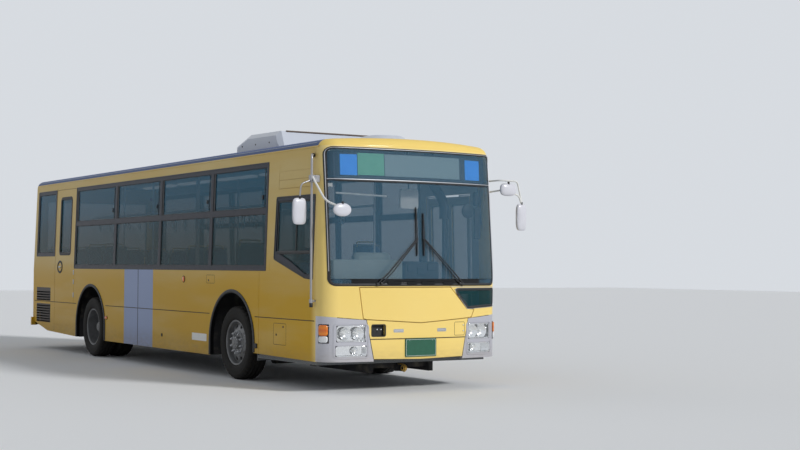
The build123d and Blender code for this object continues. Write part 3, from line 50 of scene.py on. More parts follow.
heading = Vector((cos(CAMERA_YAW), sin(CAMERA_YAW), 0))
level_right = Vector((sin(CAMERA_YAW), -cos(CAMERA_YAW), 0))
plumb = Vector((0, 0, 1))
forward = heading * cos(CAMERA_PITCH) + plumb * sin(CAMERA_PITCH)
level_up = plumb * cos(CAMERA_PITCH) - heading * sin(CAMERA_PITCH)
right = level_right * cos(CAMERA_ROLL) + level_up * sin(CAMERA_ROLL)
up = level_up * cos(CAMERA_ROLL) - level_right * sin(CAMERA_ROLL)
lens = bpy.data.cameras.new("camera")
lens.lens = CAMERA_LENS
lens.sensor_width = 36.0
lens.clip_end = 500.0
camera = bpy.data.objects.new("camera", lens)
camera.matrix_world = Matrix((
    (right.x, up.x, -forward.x, CAMERA_PLACE.x),
    (right.y, up.y, -forward.y, CAMERA_PLACE.y),
    (right.z, up.z, -forward.z, CAMERA_PLACE.z),
    (0, 0, 0, 1),
))
bpy.context.scene.collection.objects.link(camera)
bpy.context.scene.camera = camera
bpy.context.scene.view_settings.view_transform = "Standard"


class Wire:
    """An output socket of a finish. Sums with it add the Math nodes that work them out."""

    def __init__(self, finish, socket):
        self.finish = finish
        self.socket = socket

    def math(self, operation, *values):
        return self.finish.add("Math", {"operation": operation}, dict(enumerate(values)))

    def __add__(self, other):
        return self.math("ADD", self, other)

    __radd__ = __add__

    def __sub__(self, other):
        return self.math("SUBTRACT", self, other)

    def __rsub__(self, other):
        return self.math("SUBTRACT", other, self)

    def __mul__(self, other):
        return self.math("MULTIPLY", self, other)

    __rmul__ = __mul__

    def __gt__(self, other):
        return self.math("GREATER_THAN", self, other)

    def __lt__(self, other):
        return self.math("LESS_THAN", self, other)

    def __abs__(self):
        return self.math("ABSOLUTE", self)

    def fold(self, pitch):
        """Distance to the nearest whole number of pitches, for lines that repeat."""
        return self.math("PINGPONG", self, pitch / 2)

    def between(self, low, high):
        """1 where the value lies between two others, and 0 elsewhere."""
        return (self > low) * (self < high)

    def soft(self, low, high):
        """0 at low, 1 at high and a smooth step between."""
        return self.finish.add("MapRange", {"interpolation_type": "SMOOTHSTEP"}, {0: self, 1: low, 2: high})

    def mix(self, first, second):
        """The first colour where the value is 0, the second where it is 1."""
        return self.finish.add("Mix", {"data_type": "RGBA"}, {0: self, 6: first, 7: second}, 2)


class Finish:
    """A material of the bus: its shader, and the nodes that vary it over the surface."""

    def __init__(self, name, colour, roughness=0.5, **sockets):
        self.material = bpy.data.materials.new(name)
        self.material.use_nodes = True
        self.tree = self.material.node_tree
        self.shader = self.tree.nodes["Principled BSDF"]
        self.set("Base Color", colour)
        self.set("Roughness", roughness)
        for socket, value in sockets.items():
            self.set(socket.replace("_", " "), value)
        self.place = self.add("TexCoord", {}, {}, "Object")

    def feed(self, socket, value):
        """Give a socket a wire, or a constant of its own kind."""
        if isinstance(value, Wire):
            self.tree.links.new(value.socket, socket)
        elif isinstance(value, tuple) and len(socket.default_value) == 4:
            socket.default_value = (*value[:3], 1.0)
        else:
            socket.default_value = value

    def add(self, kind, settings, inputs, output=0):
        """A node of any kind: its settings first, then its sockets. Returns one output's wire."""
        node = self.tree.nodes.new("ShaderNode" + kind)
        for key, value in settings.items():
            setattr(node, key, value)
        for key, value in inputs.items():
            self.feed(node.inputs[key], value)
        return Wire(self, node.outputs[output])

    def set(self, socket, value):
        """Feed one socket of the shader."""
        self.feed(self.shader.inputs[socket], value)

    def axes(self):
        """X, Y and Z of the surface, in metres in the bus's own frame."""
        return [self.add("SeparateXYZ", {}, {0: self.place}, i) for i in range(3)]

    def noise(self, scale, detail=3.0, stretch=(1, 1, 1)):
        """Soft noise between 0 and 1, drawn out along an axis by a small stretch."""
        place = self.add("Mapping", {}, {0: self.place, 3: stretch})
        return self.add("TexNoise", {}, {"Vector": place, "Scale": scale, "Detail": detail})

    def bump(self, height, strength, distance=0.002):
        """Raise the surface by a height between 0 and 1."""
        normal = self.add("Bump", {}, {"Height": height, "Strength": strength, "Distance": distance})
        self.set("Normal", normal)

    def mottle(self, scale, first, second, detail=3.0):
        """Base colour that drifts between two close colours."""
        self.set("Base Color", self.noise(scale, detail).mix(first, second))

    def wear(self, least, spread, scale, detail=3.0, stretch=(1, 1, 1)):
        """Roughness that drifts up from its least value, as on a handled surface."""
        self.set("Roughness", self.noise(scale, detail, stretch) * spread + least)

    def grain(self, scale, strength, distance, detail=3.0, stretch=(1, 1, 1)):
        """Fine unevenness of the surface."""
        self.bump(self.noise(scale, detail, stretch), strength, distance)


def turns_of(count):
    """Angles spaced evenly round a full turn."""
    return [2 * pi * k / count for k in range(count)]


def bend(start, at, end):
    """Points of a smooth bend from start to end, pulled towards the corner between them."""
    shares = (0, 0.2, 0.4, 0.6, 0.8, 1)
    return [start * (1 - t) ** 2 + at * 2 * t * (1 - t) + end * t * t for t in shares]


class Build:
    """The points and faces of one piece, gathered before its mesh is made."""

    def __init__(self):
        self.points = []
        self.faces = []

    def add(self, points, faces):
        """Points and faces that count from the first of those points."""
        base = len(self.points)
        self.points += [tuple(point) for point in points]
        self.faces += [tuple(base + index for index in face) for face in faces]

    def rows(self, rows, closed=False, caps=False):
        """Faces between rows of as many points each, with each row closed into a ring if told."""
        count = len(rows[0])
        last = count if closed else count - 1
        faces = []
        for row in range(len(rows) - 1):
            for i in range(last):
                j = (i + 1) % count
                faces.append((row * count + i, row * count + j, (row + 1) * count + j, (row + 1) * count + i))
        if caps:
            faces.append(tuple(reversed(range(count))))
            faces.append(tuple(range((len(rows) - 1) * count, len(rows) * count)))
        self.add([point for row in rows for point in row], faces)

    def rim(self, surface, outline, width, height, sink=0.0, closed=True):
        """A strip along an outline on a surface, its section a low bar with eased edges."""
        section = ((-0.5, 0.0), (-0.5, 0.6), (-0.32, 1.0), (0.32, 1.0), (0.5, 0.6), (0.5, 0.0))
        count = len(outline)
        sideways = []
        for i, point in enumerate(outline):
            before = outline[i - 1] if closed or i else point
            after = outline[(i + 1) % count] if closed or i < count - 1 else point
            along = (Vector(after) - Vector(before)).normalized()
            sideways.append(Vector((along.y, -along.x)) * width)
        self.rows([[surface(u + side.x * across, v + side.y * across, height * up - sink)
                    for (u, v), side in zip(outline, sideways)] for across, up in section], closed=closed)

    def plate(self, surface, outline, thick, sink=0.0, ease=0.002, crown=0.0):
        """A plate on a surface, its outline in the surface's own two directions, its edge eased."""
        corners = [Vector(point) for point in outline]
        middle = sum(corners, Vector((0, 0))) / len(corners)
        rows = []
        for shrink, over in ((0.0, -sink), (0.0, thick - ease), (ease, thick)):
            drawn_in = [point + (middle - point).normalized() * shrink for point in corners]
            rows.append([surface(*point, over) for point in drawn_in])
        for share in (0.75, 0.5, 0.25, 0.0):
            over = thick + crown * (1 - share * share)
            rows.append([surface(*middle.lerp(point, share), over) for point in corners])
        self.rows(rows, closed=True)

    def well(self, surface, outline, depth):
        """A recess in a surface: its wall, and its floor at a depth."""
        corners = [Vector(point) for point in outline]
        middle = sum(corners, Vector((0, 0))) / len(corners)
        rows = [[surface(*point, over) for point in corners] for over in (0.0, -depth)]
        rows += [[surface(*middle.lerp(point, share), -depth) for point in corners] for share in (0.5, 0.0)]
        self.rows(rows, closed=True)

    def tube(self, points, radius, reach=0.0, sides=12):
        """A round bar through points, bent at each of them but the ends."""
        path = [Vector(point) for point in points]
        if reach:
            bent = [path[0]]
            for before, at, after in zip(path, path[1:], path[2:]):
                back, on = (before - at).normalized(), (after - at).normalized()
                bent += bend(at + back * reach, at, at + on * reach)
            path = bent + [path[-1]]
        across = (path[1] - path[0]).orthogonal().normalized()
        rows = []
        for i, point in enumerate(path):
            along = (path[min(i + 1, len(path) - 1)] - path[max(i - 1, 0)]).normalized()
            across = (across - along * across.dot(along)).normalized()
            other = along.cross(across)
            spokes = [across * cos(turn) + other * sin(turn) for turn in turns_of(sides)]
            rows.append([point + spoke * radius for spoke in spokes])
        self.rows(rows, closed=True, caps=True)

    def turn(self, profile, centre, axis, sides=32):
        """A form turned about an axis through a centre, from its (distance along, radius) points."""
        axis = Vector(axis).normalized()
        across = axis.orthogonal().normalized()
        other = axis.cross(across)
        spokes = [across * cos(turn) + other * sin(turn) for turn in turns_of(sides)]
        self.rows([[Vector(centre) + axis * along + spoke * radius for spoke in spokes]
                   for along, radius in profile], closed=True)

    def block(self, x, y, z, ease=0.003, place=Matrix()):
        """A box between two places on each axis, its edges bevelled, moved by a matrix if given."""
        spans = [sorted(x), sorted(y), sorted(z)]
        points = []
        for ends in product((0, 1), repeat=3):
            for flat in range(3):
                eased = [0 if axis == flat else ease * (1 - 2 * ends[axis]) for axis in range(3)]
                points.append(place @ Vector([spans[axis][ends[axis]] + eased[axis] for axis in range(3)]))
        square = ((0, 0), (1, 0), (1, 1), (0, 1))
        faces = [[corner * 3 + flat for flat in range(3)] for corner in range(8)]
        for flat, one, two in ((0, 1, 2), (1, 0, 2), (2, 0, 1)):
            steps = [(4, 2, 1)[axis] * 3 for axis in (flat, one, two)]
            for end in (0, 1):
                faces.append([end * steps[0] + u * steps[1] + v * steps[2] + flat for u, v in square])
            for u, v in product((0, 1), repeat=2):
                low = u * steps[1] + v * steps[2]
                faces.append([low + one, low + two, low + steps[0] + two, low + steps[0] + one])
        self.add(points, faces)

    def make(self, name, finish, body="root", slot=None, sharp=40):
        """The piece itself, riding on a body, with edges sharper than an angle kept sharp."""
        mesh = bpy.data.meshes.new(name)
        mesh.from_pydata(self.points, [], self.faces)
        tidy = bmesh.new()
        tidy.from_mesh(mesh)
        bmesh.ops.remove_doubles(tidy, verts=tidy.verts, dist=1e-5)
        bmesh.ops.recalc_face_normals(tidy, faces=tidy.faces)
        tidy.to_mesh(mesh)
        tidy.free()
        mesh.shade_smooth()
        mesh.set_sharp_from_angle(angle=radians(sharp))
        mesh.materials.append(finish.material)
        piece = bpy.data.objects.new(name, mesh)
        bpy.context.scene.collection.objects.link(piece)
        if body:
            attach(piece, body)
        return piece


# Studio: a pale seamless floor, a broad soft key light from ahead and to the left, and an
# even pale surround. Nothing here is part of the bus.
FLOOR_REACH = 60.0
SURROUND = (0.68, 0.71, 0.75)
SURROUND_LIGHT = 0.42
# name, where it shines from, strength, spread in degrees
SUNS = [("key", Vector((1.0, 0.42, 0.62)), 2.1, 9.0), ("fill", Vector((-0.9, -0.55, 0.8)), 0.2, 40.0)]

floor = Build()
reach = FLOOR_REACH
floor.add([(-reach, -reach, 0), (reach, -reach, 0), (reach, reach, 0), (-reach, reach, 0)], [(0, 1, 2, 3)])
floor_finish = Finish("floor_pale", (0.86, 0.87, 0.88), 0.8)
floor.make("floor", floor_finish, body=None)

for name, source, strength, spread in SUNS:
    sun = bpy.data.lights.new(name, "SUN")
    sun.energy = strength
    sun.angle = radians(spread)
    lamp = bpy.data.objects.new(name, sun)
    lamp.rotation_euler = source.to_track_quat("Z", "Y").to_euler()
    bpy.context.scene.collection.objects.link(lamp)

world = bpy.data.worlds.new("studio")
world.use_nodes = True
bpy.context.scene.world = world
surround = world.node_tree.nodes["Background"]
path = world.node_tree.nodes.new("ShaderNodeLightPath")
surround.inputs["Color"].default_value = (*SURROUND, 1.0)
strength = path.outputs["Is Camera Ray"]
for ray in ("Is Glossy Ray", "Is Transmission Ray"):
    either = world.node_tree.nodes.new("ShaderNodeMath")
    either.operation = "MAXIMUM"
    world.node_tree.links.new(strength, either.inputs[0])
    world.node_tree.links.new(path.outputs[ray], either.inputs[1])
    strength = either.outputs[0]
seen = world.node_tree.nodes.new("ShaderNodeMath")
seen.operation = "MULTIPLY_ADD"
seen.inputs[1].default_value = 1.0 - SURROUND_LIGHT
seen.inputs[2].default_value = SURROUND_LIGHT
world.node_tree.links.new(strength, seen.inputs[0])
world.node_tree.links.new(seen.outputs[0], surround.inputs["Strength"])


def dress(names, finish):
    """Give CAD nodes a finish."""
    for name in names:
        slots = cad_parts[name].data.materials
        slots.clear()
        slots.append(finish.material)


# Body panels: sheet steel in warm yellow enamel under a clear coat, drawn paler higher up as
# painted reflection of the sky, and on the flanks in a deeper copy of the yellow as painted shade.
# Towards the foot of the skirt it turns darker and browner in patches. A silver band marks the
# middle doorway on both sides, drawn blue as painted reflection of the sky.
HALF_WIDTH, WAIST_Z, LEAN_Z = 1.245, 1.41, 3.10
SIDE_LEAN, FRONT_LEAN, REAR_LEAN = 0.05, 0.10, 0.04
AXLES_X = (2.92, -2.38)
YELLOW, YELLOW_PALE = (0.90, 0.66, 0.19), (0.93, 0.73, 0.31)
# the flanks' deeper yellow is a shaded copy of the front's yellow, painted shade, and its lighter partner is
# painted sheen of the sky
FLANK_SHADED_YELLOW, FLANK_SHEEN, FLANK_X = (0.61, 0.355, 0.010), (0.66, 0.50, 0.20), (5.05, 5.22)
# the brown that the paint turns towards the foot of the skirt, and the heights it fades over
FOOT_BROWN, FOOT_BROWN_Z = (0.26, 0.20, 0.12), (0.3, 0.62)
# the band is silver paint, drawn blue as painted reflection of the sky
BAND_SKY_BLUE, BAND_X, BAND_TOP_Z, BAND_DEPTH = (0.31, 0.38, 0.58), (-0.89, 0.25), 1.42, 0.2
LINE_DARK, LINE_X, LINE_HALF = (0.03, 0.03, 0.04), -0.33, 0.010
LOUVRE_BROWN, LOUVRE_X, LOUVRE_DEPTH = (0.035, 0.020, 0.009), (-5.155, -4.395), 0.2
LOUVRE_Z = ((0.852, 1.084), (0.475, 0.80))
# the cut edges of the wheel arches: how deep in the wall, how far from an axle, how high
EDGE_BLACK, EDGE_DEPTH, EDGE_REACH, EDGE_TOP_Z = (0.008, 0.008, 0.009), (0.002, 0.06), 0.68, 1.2
# faces deeper than this are grey in the cabin and black under its floor, which rises to the
# rear in two steps; the middle door stands deeper than the rest
CABIN_X, CABIN_DEPTH, CABIN_FOOT_Z = (-5.36, 5.05), 0.033, 0.36
CABIN_GREY, CABIN_PALE = (0.44, 0.46, 0.45), (0.52, 0.54, 0.52)
REAR_FLOOR_X, REAR_FLOOR_RISE = -1.95, 0.45
BENCH_X, BENCH_RISE = -4.35, 0.35
SLIDE_X, SLIDE_DEEPER = (-0.86, 0.20), 0.050
PANELS = ["side_wall_right", "side_wall_left", "front_mask", "rear_wall", "bumpers", "front_lid",
          "engine_hatch", "emergency_door", "door_middle", "door_leaf_rear", "door_leaf_front"]


def enamel(name, colour, pale, gloss=0.35):
    """Gloss paint in two close shades, slightly uneven as sprayed sheet is, and paler higher up as painted
    reflection of the sky.
    """
    paint = Finish(name, colour, 0.34, Specular_IOR_Level=gloss, Coat_Weight=0.6 * gloss, Coat_Roughness=0.08)
    x, y, z = paint.axes()
    cloud = paint.noise(1.3, 2.0)
    # the pale shade comes in random clouds of the paint's own tone, and higher up as painted reflection of
    # the sky
    shade = (cloud * 0.5 + z.soft(1.2, 2.9) * 0.6).mix(colour, pale)
    # darker, browner and rougher in patches towards the foot of the skirt
    foot_brown = (1 - z.soft(*FOOT_BROWN_Z)) * paint.noise(9.0, 5.0, (1, 1, 2.5)) * 0.55
    paint.set("Base Color", foot_brown.mix(shade, FOOT_BROWN))
    paint.set("Roughness", 0.26 + cloud * 0.1 + foot_brown * 0.5)
    paint.bump(paint.noise(3.0, 1.0) + paint.noise(420.0, 1.0) * 0.01, 0.10, 0.004)
    return paint, (x, y, z), shade, foot_brown


def depth_of(y, z):
    """How deep a face lies behind the skin of the flanks, which lean in above the waist."""
    slope = round(SIDE_LEAN / (LEAN_Z - WAIST_Z), 4)
    return HALF_WIDTH - abs(y) - z.math("MAXIMUM", z - WAIST_Z, 0.0) * slope


yellow, (x, y, z), shade, foot_brown = enamel("yellow_enamel", YELLOW, YELLOW_PALE, 0.10)
# painted shade on the flanks, lightened above the waist and in soft streaks by painted sheen of the sky
flank_sheen_mask = z.soft(1.15, 1.75) * 0.75 + yellow.noise(1.1, 3.0, (0.4, 1, 2.2)).soft(0.45, 0.75) * 0.35
shade = x.soft(*FLANK_X).mix(flank_sheen_mask.mix(FLANK_SHADED_YELLOW, FLANK_SHEEN), shade)
# silver band, its blue a painted reflection of the sky
band = x.between(*BAND_X) * (z < BAND_TOP_Z) * (abs(y) > HALF_WIDTH - BAND_DEPTH)
line = (abs(x - LINE_X) < LINE_HALF) * band
shade = line.mix(band.mix(shade, BAND_SKY_BLUE), LINE_DARK)
cut_edge = abs(y).between(HALF_WIDTH - EDGE_DEPTH[1], HALF_WIDTH - EDGE_DEPTH[0]) * (z < EDGE_TOP_Z)
near_wheel = (abs(x - AXLES_X[0]) < EDGE_REACH) + (abs(x - AXLES_X[1]) < EDGE_REACH)
louvre_rows = z.between(*LOUVRE_Z[0]) + z.between(*LOUVRE_Z[1])
louvres = x.between(*LOUVRE_X) * louvre_rows * (y < LOUVRE_DEPTH - HALF_WIDTH)
sliding = x.between(*SLIDE_X) * (y > 0)
cabin_side = x.between(*CABIN_X) * (depth_of(y, z) > CABIN_DEPTH + sliding * SLIDE_DEEPER)
foot_z = (x < REAR_FLOOR_X) * REAR_FLOOR_RISE + (x < BENCH_X) * BENCH_RISE + CABIN_FOOT_Z
inside = (z > foot_z).mix(EDGE_BLACK, yellow.noise(2.0).mix(CABIN_GREY, CABIN_PALE))
# outside the cabin the flank colours turn darker and browner towards the skirt's foot
shade = cabin_side.mix(foot_brown.mix(shade, FOOT_BROWN), inside)
shade = (cut_edge * near_wheel).mix(shade, EDGE_BLACK)
yellow.set("Base Color", louvres.mix(shade, LOUVRE_BROWN))
dress(PANELS, yellow)

# Rain gutters: a rolled strip of painted steel along the top edge of each side, bonded on
# just under the roof's skin.
LEFT, RIGHT = 1, -1
SIDES = (LEFT, RIGHT)
GUTTER_X, GUTTER_Z = (-5.28, 5.15), 2.893


def lean(z):
    """Share of its whole lean that the body has at a height."""
    return max(0.0, z - WAIST_Z) / (LEAN_Z - WAIST_Z)


def flank(side, inset=0.0):
    """One side of the body, as a surface of X and Z."""
    return lambda x, z, over=0.0: Vector((x, side * (HALF_WIDTH - SIDE_LEAN * lean(z) - inset + over), z))


gutters = Build()
for side in SIDES:
    gutters.rim(flank(side), [(x, GUTTER_Z) for x in GUTTER_X], 0.020, 0.010, sink=0.006, closed=False)
gutters.make("rain_gutters", yellow, slot="body_paint")

# Arch rims: black rubber strips pressed over the cut edge of each wheel arch, from the foot
# of the skirt ahead of the wheel to its foot behind it.
ARCH_Z, ARCH_REACH = 0.49, 0.664
# X of the axle, Z of the rim's front foot, Z of its rear foot
ARCHES = [(AXLES_X[0], 0.39, 0.292), (AXLES_X[1], 0.29, 0.292)]
rubber = Finish("trim_rubber", (0.012, 0.012, 0.013), 0.55)
rubber.wear(0.45, 0.25, 30.0)
rubber.grain(300.0, 0.15, 0.0006, 2.0)
arch_rims = Build()
for axle_x, front_z, rear_z in ARCHES:
    arc = [(axle_x + ARCH_REACH * cos(turn), ARCH_Z + ARCH_REACH * sin(turn)) for turn in turns_of(72)[:37]]
    edge = [(axle_x + ARCH_REACH, front_z), *arc, (axle_x - ARCH_REACH, rear_z)]
    for side in SIDES:
        arch_rims.rim(flank(side), edge, 0.044, 0.014, sink=0.002, closed=False)
arch_rims.make("arch_rims", rubber, slot="black_plastic")

# Roof: one skin of grey painted sheet, drawn blue-grey from end to end as painted reflection of
# the sky, with the yellow of the front carried over its leading edge.
# both blues are the grey paint drawn with painted reflection of the sky
ROOF_SKY_BLUE, ROOF_SKY_PALE = (0.050, 0.085, 0.22), (0.085, 0.13, 0.27)
ROOF_FRONT_X, ROOF_CROWN_RADIUS, ROOF_UNDER_Z = 5.13, 16.0, 2.99
roof_paint, (x, y, z), shade, foot_brown = enamel("roof_enamel", ROOF_SKY_BLUE, ROOF_SKY_PALE, 0.12)
shade = (x > ROOF_FRONT_X).mix(shade, YELLOW)
under_crown = z + y * y * (0.5 / ROOF_CROWN_RADIUS) < ROOF_UNDER_Z
under = x.between(*CABIN_X) * (depth_of(y, z) > CABIN_DEPTH) * under_crown
roof_paint.set("Base Color", under.mix(shade, CABIN_GREY))
roof_paint.wear(0.52, 0.1, 1.3, 2.0)
dress(["roof"], roof_paint)

# Lamp covers: moulded corner covers painted silver with a lavender cast, bolted on from
# behind beside the front panel.
SILVER, SILVER_PALE = (0.50, 0.50, 0.55), (0.57, 0.57, 0.61)
silver, (x, y, z), shade, foot_brown = enamel("silver_enamel", SILVER, SILVER_PALE)
silver.set("Metallic", 0.35)
dress(["lamp_covers"], silver)

# Window frames: folded aluminium with a dark satin finish, a little uneven from handling,
# riveted into the side walls. The sign box behind the upper front glass is finished alike.
dark_frame = Finish("frame_dark", (0.014, 0.016, 0.026), 0.42, Specular_IOR_Level=0.3)
dark_frame.wear(0.3, 0.25, 30.0)
dark_frame.grain(220.0, 0.08, 0.001, 2.0)
dress(["window_frames", "sign_box"], dark_frame)

# Window seals: rubber lips round every side pane, and the flat bead on the edge of each row.
# The upper panes slide: each has a guide strip at one end and a latch near the other.
PANE_DEPTH = 0.012
ROW_TOP_Z, RAIL_Z, RAIL_HALF = 2.78, 2.17, 0.035
FRAME_EDGE, DIVIDER_HALF = 0.06, 0.045
BEAD_EDGE, LATCH_BACK, LATCH_UP, STOP_BACK = 0.008, 0.105, 0.14, 0.055
# side, first X, last X, dividers, lowest Z, has sliding panes
WINDOW_ROWS = [
    (RIGHT, -3.20, 3.90, (-1.35, 0.45, 2.22), 1.42, True),
    (RIGHT, -5.20, -4.20, (), 1.63, False),
    (LEFT, 0.29, 3.72, (1.433, 2.577), 1.42, True),
    (LEFT, -3.50, -0.95, (-2.225,), 1.42, True),
    (LEFT, -5.20, -3.60, (), 1.63, False),
]


def about(middle, half):
    """The two ends of a span about its middle."""
    return middle - half, middle + half


def within(span, by):
    """A span drawn in by a little at both ends."""
    return span[0] + by, span[1] - by


def frame_of(u, v):
    """The four corners of an upright rectangle."""
    return [(u[0], v[0]), (u[1], v[0]), (u[1], v[1]), (u[0], v[1])]


def rounded(corners, radius, step=0.12):
    """An outline through these corners, each rounded, with a point at least every step."""
    arcs = []
    for i, corner in enumerate(corners):
        before, at, after = Vector(corners[i - 1]), Vector(corner), Vector(corners[(i + 1) % len(corners)])
        back, on = (before - at).normalized(), (after - at).normalized()
        reach = radius / tan(back.angle(on) / 2)
        arcs += bend(at + back * reach, at, at + on * reach)
    outline = []
    for i, point in enumerate(arcs):
        after = arcs[(i + 1) % len(arcs)]
        parts = max(1, ceil((after - point).length / step))
        outline += [point.lerp(after, k / parts) for k in range(parts)]
    return outline


def panel(u, v, radius, step=0.12):
    """The outline of an upright rectangle with rounded corners."""
    return rounded(frame_of(u, v), radius, step)


seals = Build()
beads = Build()
guides = Build()
for side, x0, x1, dividers, z0, slides in WINDOW_ROWS:
    bead = panel(within((x0, x1), BEAD_EDGE), within((z0, ROW_TOP_Z), BEAD_EDGE), 0.02, 2.0)
    beads.rim(flank(side), bead, 0.018, 0.004)
    ends = [x0 + FRAME_EDGE]
    for middle in dividers:
        ends += about(middle, DIVIDER_HALF)
    ends.append(x1 - FRAME_EDGE)
    levels = [z0 + FRAME_EDGE, ROW_TOP_Z - FRAME_EDGE]
    if slides:
        levels[1:1] = about(RAIL_Z, RAIL_HALF)
    pane = flank(side, PANE_DEPTH)
    for span in zip(ends[::2], ends[1::2]):
        for level in zip(levels[::2], levels[1::2]):
            seals.rim(pane, panel(span, level, 0.025, 2.0), 0.022, 0.010, sink=0.002)
            if slides and level[0] > RAIL_Z:
                guides.plate(pane, frame_of((span[0] + 0.012, span[0] + 0.055), within(level, 0.01)), 0.007)
                latch = panel(about(span[1] - LATCH_BACK, 0.016), about(level[0] + LATCH_UP, 0.03), 0.008)
                guides.plate(pane, latch, 0.014, ease=0.004)
                guides.rim(pane, [(span[1] - STOP_BACK, z) for z in level], 0.014, 0.006, closed=False)
seals.make("window_seals", rubber, slot="black_plastic")
beads.make("window_beads", dark_frame, slot="frame_dark")
guides.make("sash_guides", rubber, slot="black_plastic")

# Driver's window: a black seal round its slanted opening, with a level bar near its foot and
# an upright between the fixed pane and the sliding one.
DRIVER_WINDOW = [(4.108, 1.57), (4.136, 2.322), (5.12, 2.322), (5.11, 1.332), (4.907, 1.346)]
# both ends of a bar, its width and height
DRIVER_BARS = [
    ([(4.17, 1.645), (5.09, 1.645)], 0.040, 0.012),
    ([(4.66, 1.65), (4.66, 2.28)], 0.024, 0.010),
    ([(4.185, 1.66), (4.19, 2.27)], 0.020, 0.008),
    ([(4.17, 2.268), (5.09, 2.268)], 0.022, 0.008),
]
driver_bars = Build()
driver_bars.rim(flank(RIGHT), rounded(DRIVER_WINDOW, 0.03, 0.4), 0.022, 0.006, sink=0.002)
for ends, width, height in DRIVER_BARS:
    driver_bars.rim(flank(RIGHT, PANE_DEPTH), ends, width, height, closed=False)
driver_bars.make("driver_window_bars", rubber, slot="black_plastic")

# Emergency door fittings: a wide black seal round its pane, an oval recess with a turned
# handle, and three hinge barrels along its front edge.
EMERGENCY_PANE = ((-3.96, -3.41), (1.67, 2.62))
EMERGENCY_HANDLE = (-3.912, 1.447)
EMERGENCY_AXIS, HINGES_Z = (-3.203, -1.249), (0.94, 1.16, 1.32)
HINGE = [(0, 0), (0, 0.007), (0.004, 0.009), (0.076, 0.009), (0.080, 0.007), (0.080, 0)]


def oval(centre, across, up, count=28):
    """The outline of an oval about a centre, from its reach across and up."""
    return [(centre[0] + across * cos(turn), centre[1] + up * sin(turn)) for turn in turns_of(count)]


door_side = flank(RIGHT)
emergency_trim = Build()
emergency_trim.rim(door_side, panel(*EMERGENCY_PANE, 0.06, 0.4), 0.052, 0.008, sink=0.004)
emergency_trim.rim(door_side, oval(EMERGENCY_HANDLE, 0.112, 0.092), 0.036, 0.008)
emergency_trim.make("emergency_trim", rubber, "door_emergency", "black_plastic")
satin_steel = Finish("satin_steel", (0.55, 0.56, 0.58), 0.35, Metallic=1.0)
satin_steel.wear(0.28, 0.2, 80.0)
satin_steel.grain(500.0, 0.06, 0.0004, 2.0)
emergency_steel = Build()
emergency_steel.plate(door_side, oval(EMERGENCY_HANDLE, 0.050, 0.013), 0.016, ease=0.005)
for z in HINGES_Z:
    emergency_steel.turn(HINGE, (*EMERGENCY_AXIS, z), (0, 0, 1), 16)
emergency_steel.make("emergency_handle_and_hinges", satin_steel, "door_emergency", "pole_steel")

# Side fittings: small lids with turned locks, side marker lamps, a reserve lens by the
# waist and a blank white plate on the skirt, all set on the panels.
LOCK = [(0, 0.014), (0.003, 0.013), (0.003, 0.006), (0.001, 0.005), (0.001, 0)]
# side, X and Z spans of a lid, places of its locks
SIDE_LIDS = [
    (RIGHT, (2.13, 2.39), (1.247, 1.356), [(2.20, 1.285)]),
    (RIGHT, (4.12, 4.45), (0.52, 0.78), [(4.195, 0.64), (4.375, 0.74)]),
    (LEFT, (0.60, 1.60), (0.40, 0.86), [(0.68, 0.82), (1.52, 0.82)]),
    (LEFT, (-3.90, -3.30), (0.55, 0.95), [(-3.84, 0.91), (-3.36, 0.91)]),
    (LEFT, (-5.10, -4.20), (0.52, 1.25), [(-5.02, 1.2), (-4.28, 1.2)]),
]
SKIRT_SOCKET = [(0, 0.026), (0.006, 0.024), (0.006, 0.012), (0.002, 0.010), (0.002, 0)]
SKIRT_SOCKET_PLACE = (0.61, 0.48)
SEAM_SPANS, SEAM_Z = [(-5.27, -3.06), (-1.70, 2.24), (3.60, 5.16)], 0.84
UPRIGHT_SEAM = [(-4.19, 0.345), (-4.19, 2.80)]
MARKER, RESERVE_LENS = (-1.65, 0.65), (1.37, 1.292)
AMBER, AMBER_DEEP = (0.92, 0.27, 0.008), (0.72, 0.10, 0.004)
amber = Finish("amber_lens", AMBER, 0.18, Coat_Weight=0.5)
amber.set("Base Color", (amber.axes()[2].fold(0.070) * 22).mix(AMBER, AMBER_DEEP))
amber.bump(abs(amber.axes()[2].fold(0.006)) * 160, 0.4, 0.0012)
seam_dark = Finish("seam_shadow", (0.05, 0.035, 0.015), 0.8)
seam_dark.mottle(20.0, (0.04, 0.028, 0.012), (0.07, 0.05, 0.025))
lid_seams = Build()
lid_locks = Build()
markers = Build()
plates = Build()
for side, x, z, locks in SIDE_LIDS:
    lid_seams.rim(flank(side), panel(x, z, 0.02, 0.6), 0.005, 0.0008)
    for lock_x, lock_z in locks:
        lid_locks.turn(LOCK, flank(side)(lock_x, lock_z), (0, side, 0), 16)
for span in SEAM_SPANS:
    lid_seams.rim(flank(RIGHT), [(x, SEAM_Z) for x in span], 0.011, 0.001, closed=False)
lid_locks.turn(SKIRT_SOCKET, flank(RIGHT)(*SKIRT_SOCKET_PLACE), (0, RIGHT, 0), 16)
lid_locks.plate(flank(RIGHT), panel((3.61, 3.68), (0.445, 0.505), 0.015), 0.016, ease=0.004)
for side in SIDES:
    marker = panel(about(MARKER[0], 0.045), about(MARKER[1], 0.02), 0.012)
    markers.plate(flank(side), marker, 0.012, crown=0.004)
    edge = panel(about(MARKER[0], 0.048), about(MARKER[1], 0.023), 0.014)
    lid_seams.rim(flank(side), edge, 0.008, 0.004)
markers.plate(flank(RIGHT), oval(RESERVE_LENS, 0.038, 0.038), 0.010, crown=0.006)
lid_seams.rim(flank(RIGHT), oval(RESERVE_LENS, 0.043, 0.043), 0.010, 0.006)
plates.plate(flank(RIGHT), panel((1.67, 2.15), (0.46, 0.56), 0.012), 0.002)
lid_seams.rim(flank(RIGHT), UPRIGHT_SEAM, 0.008, 0.001, closed=False)
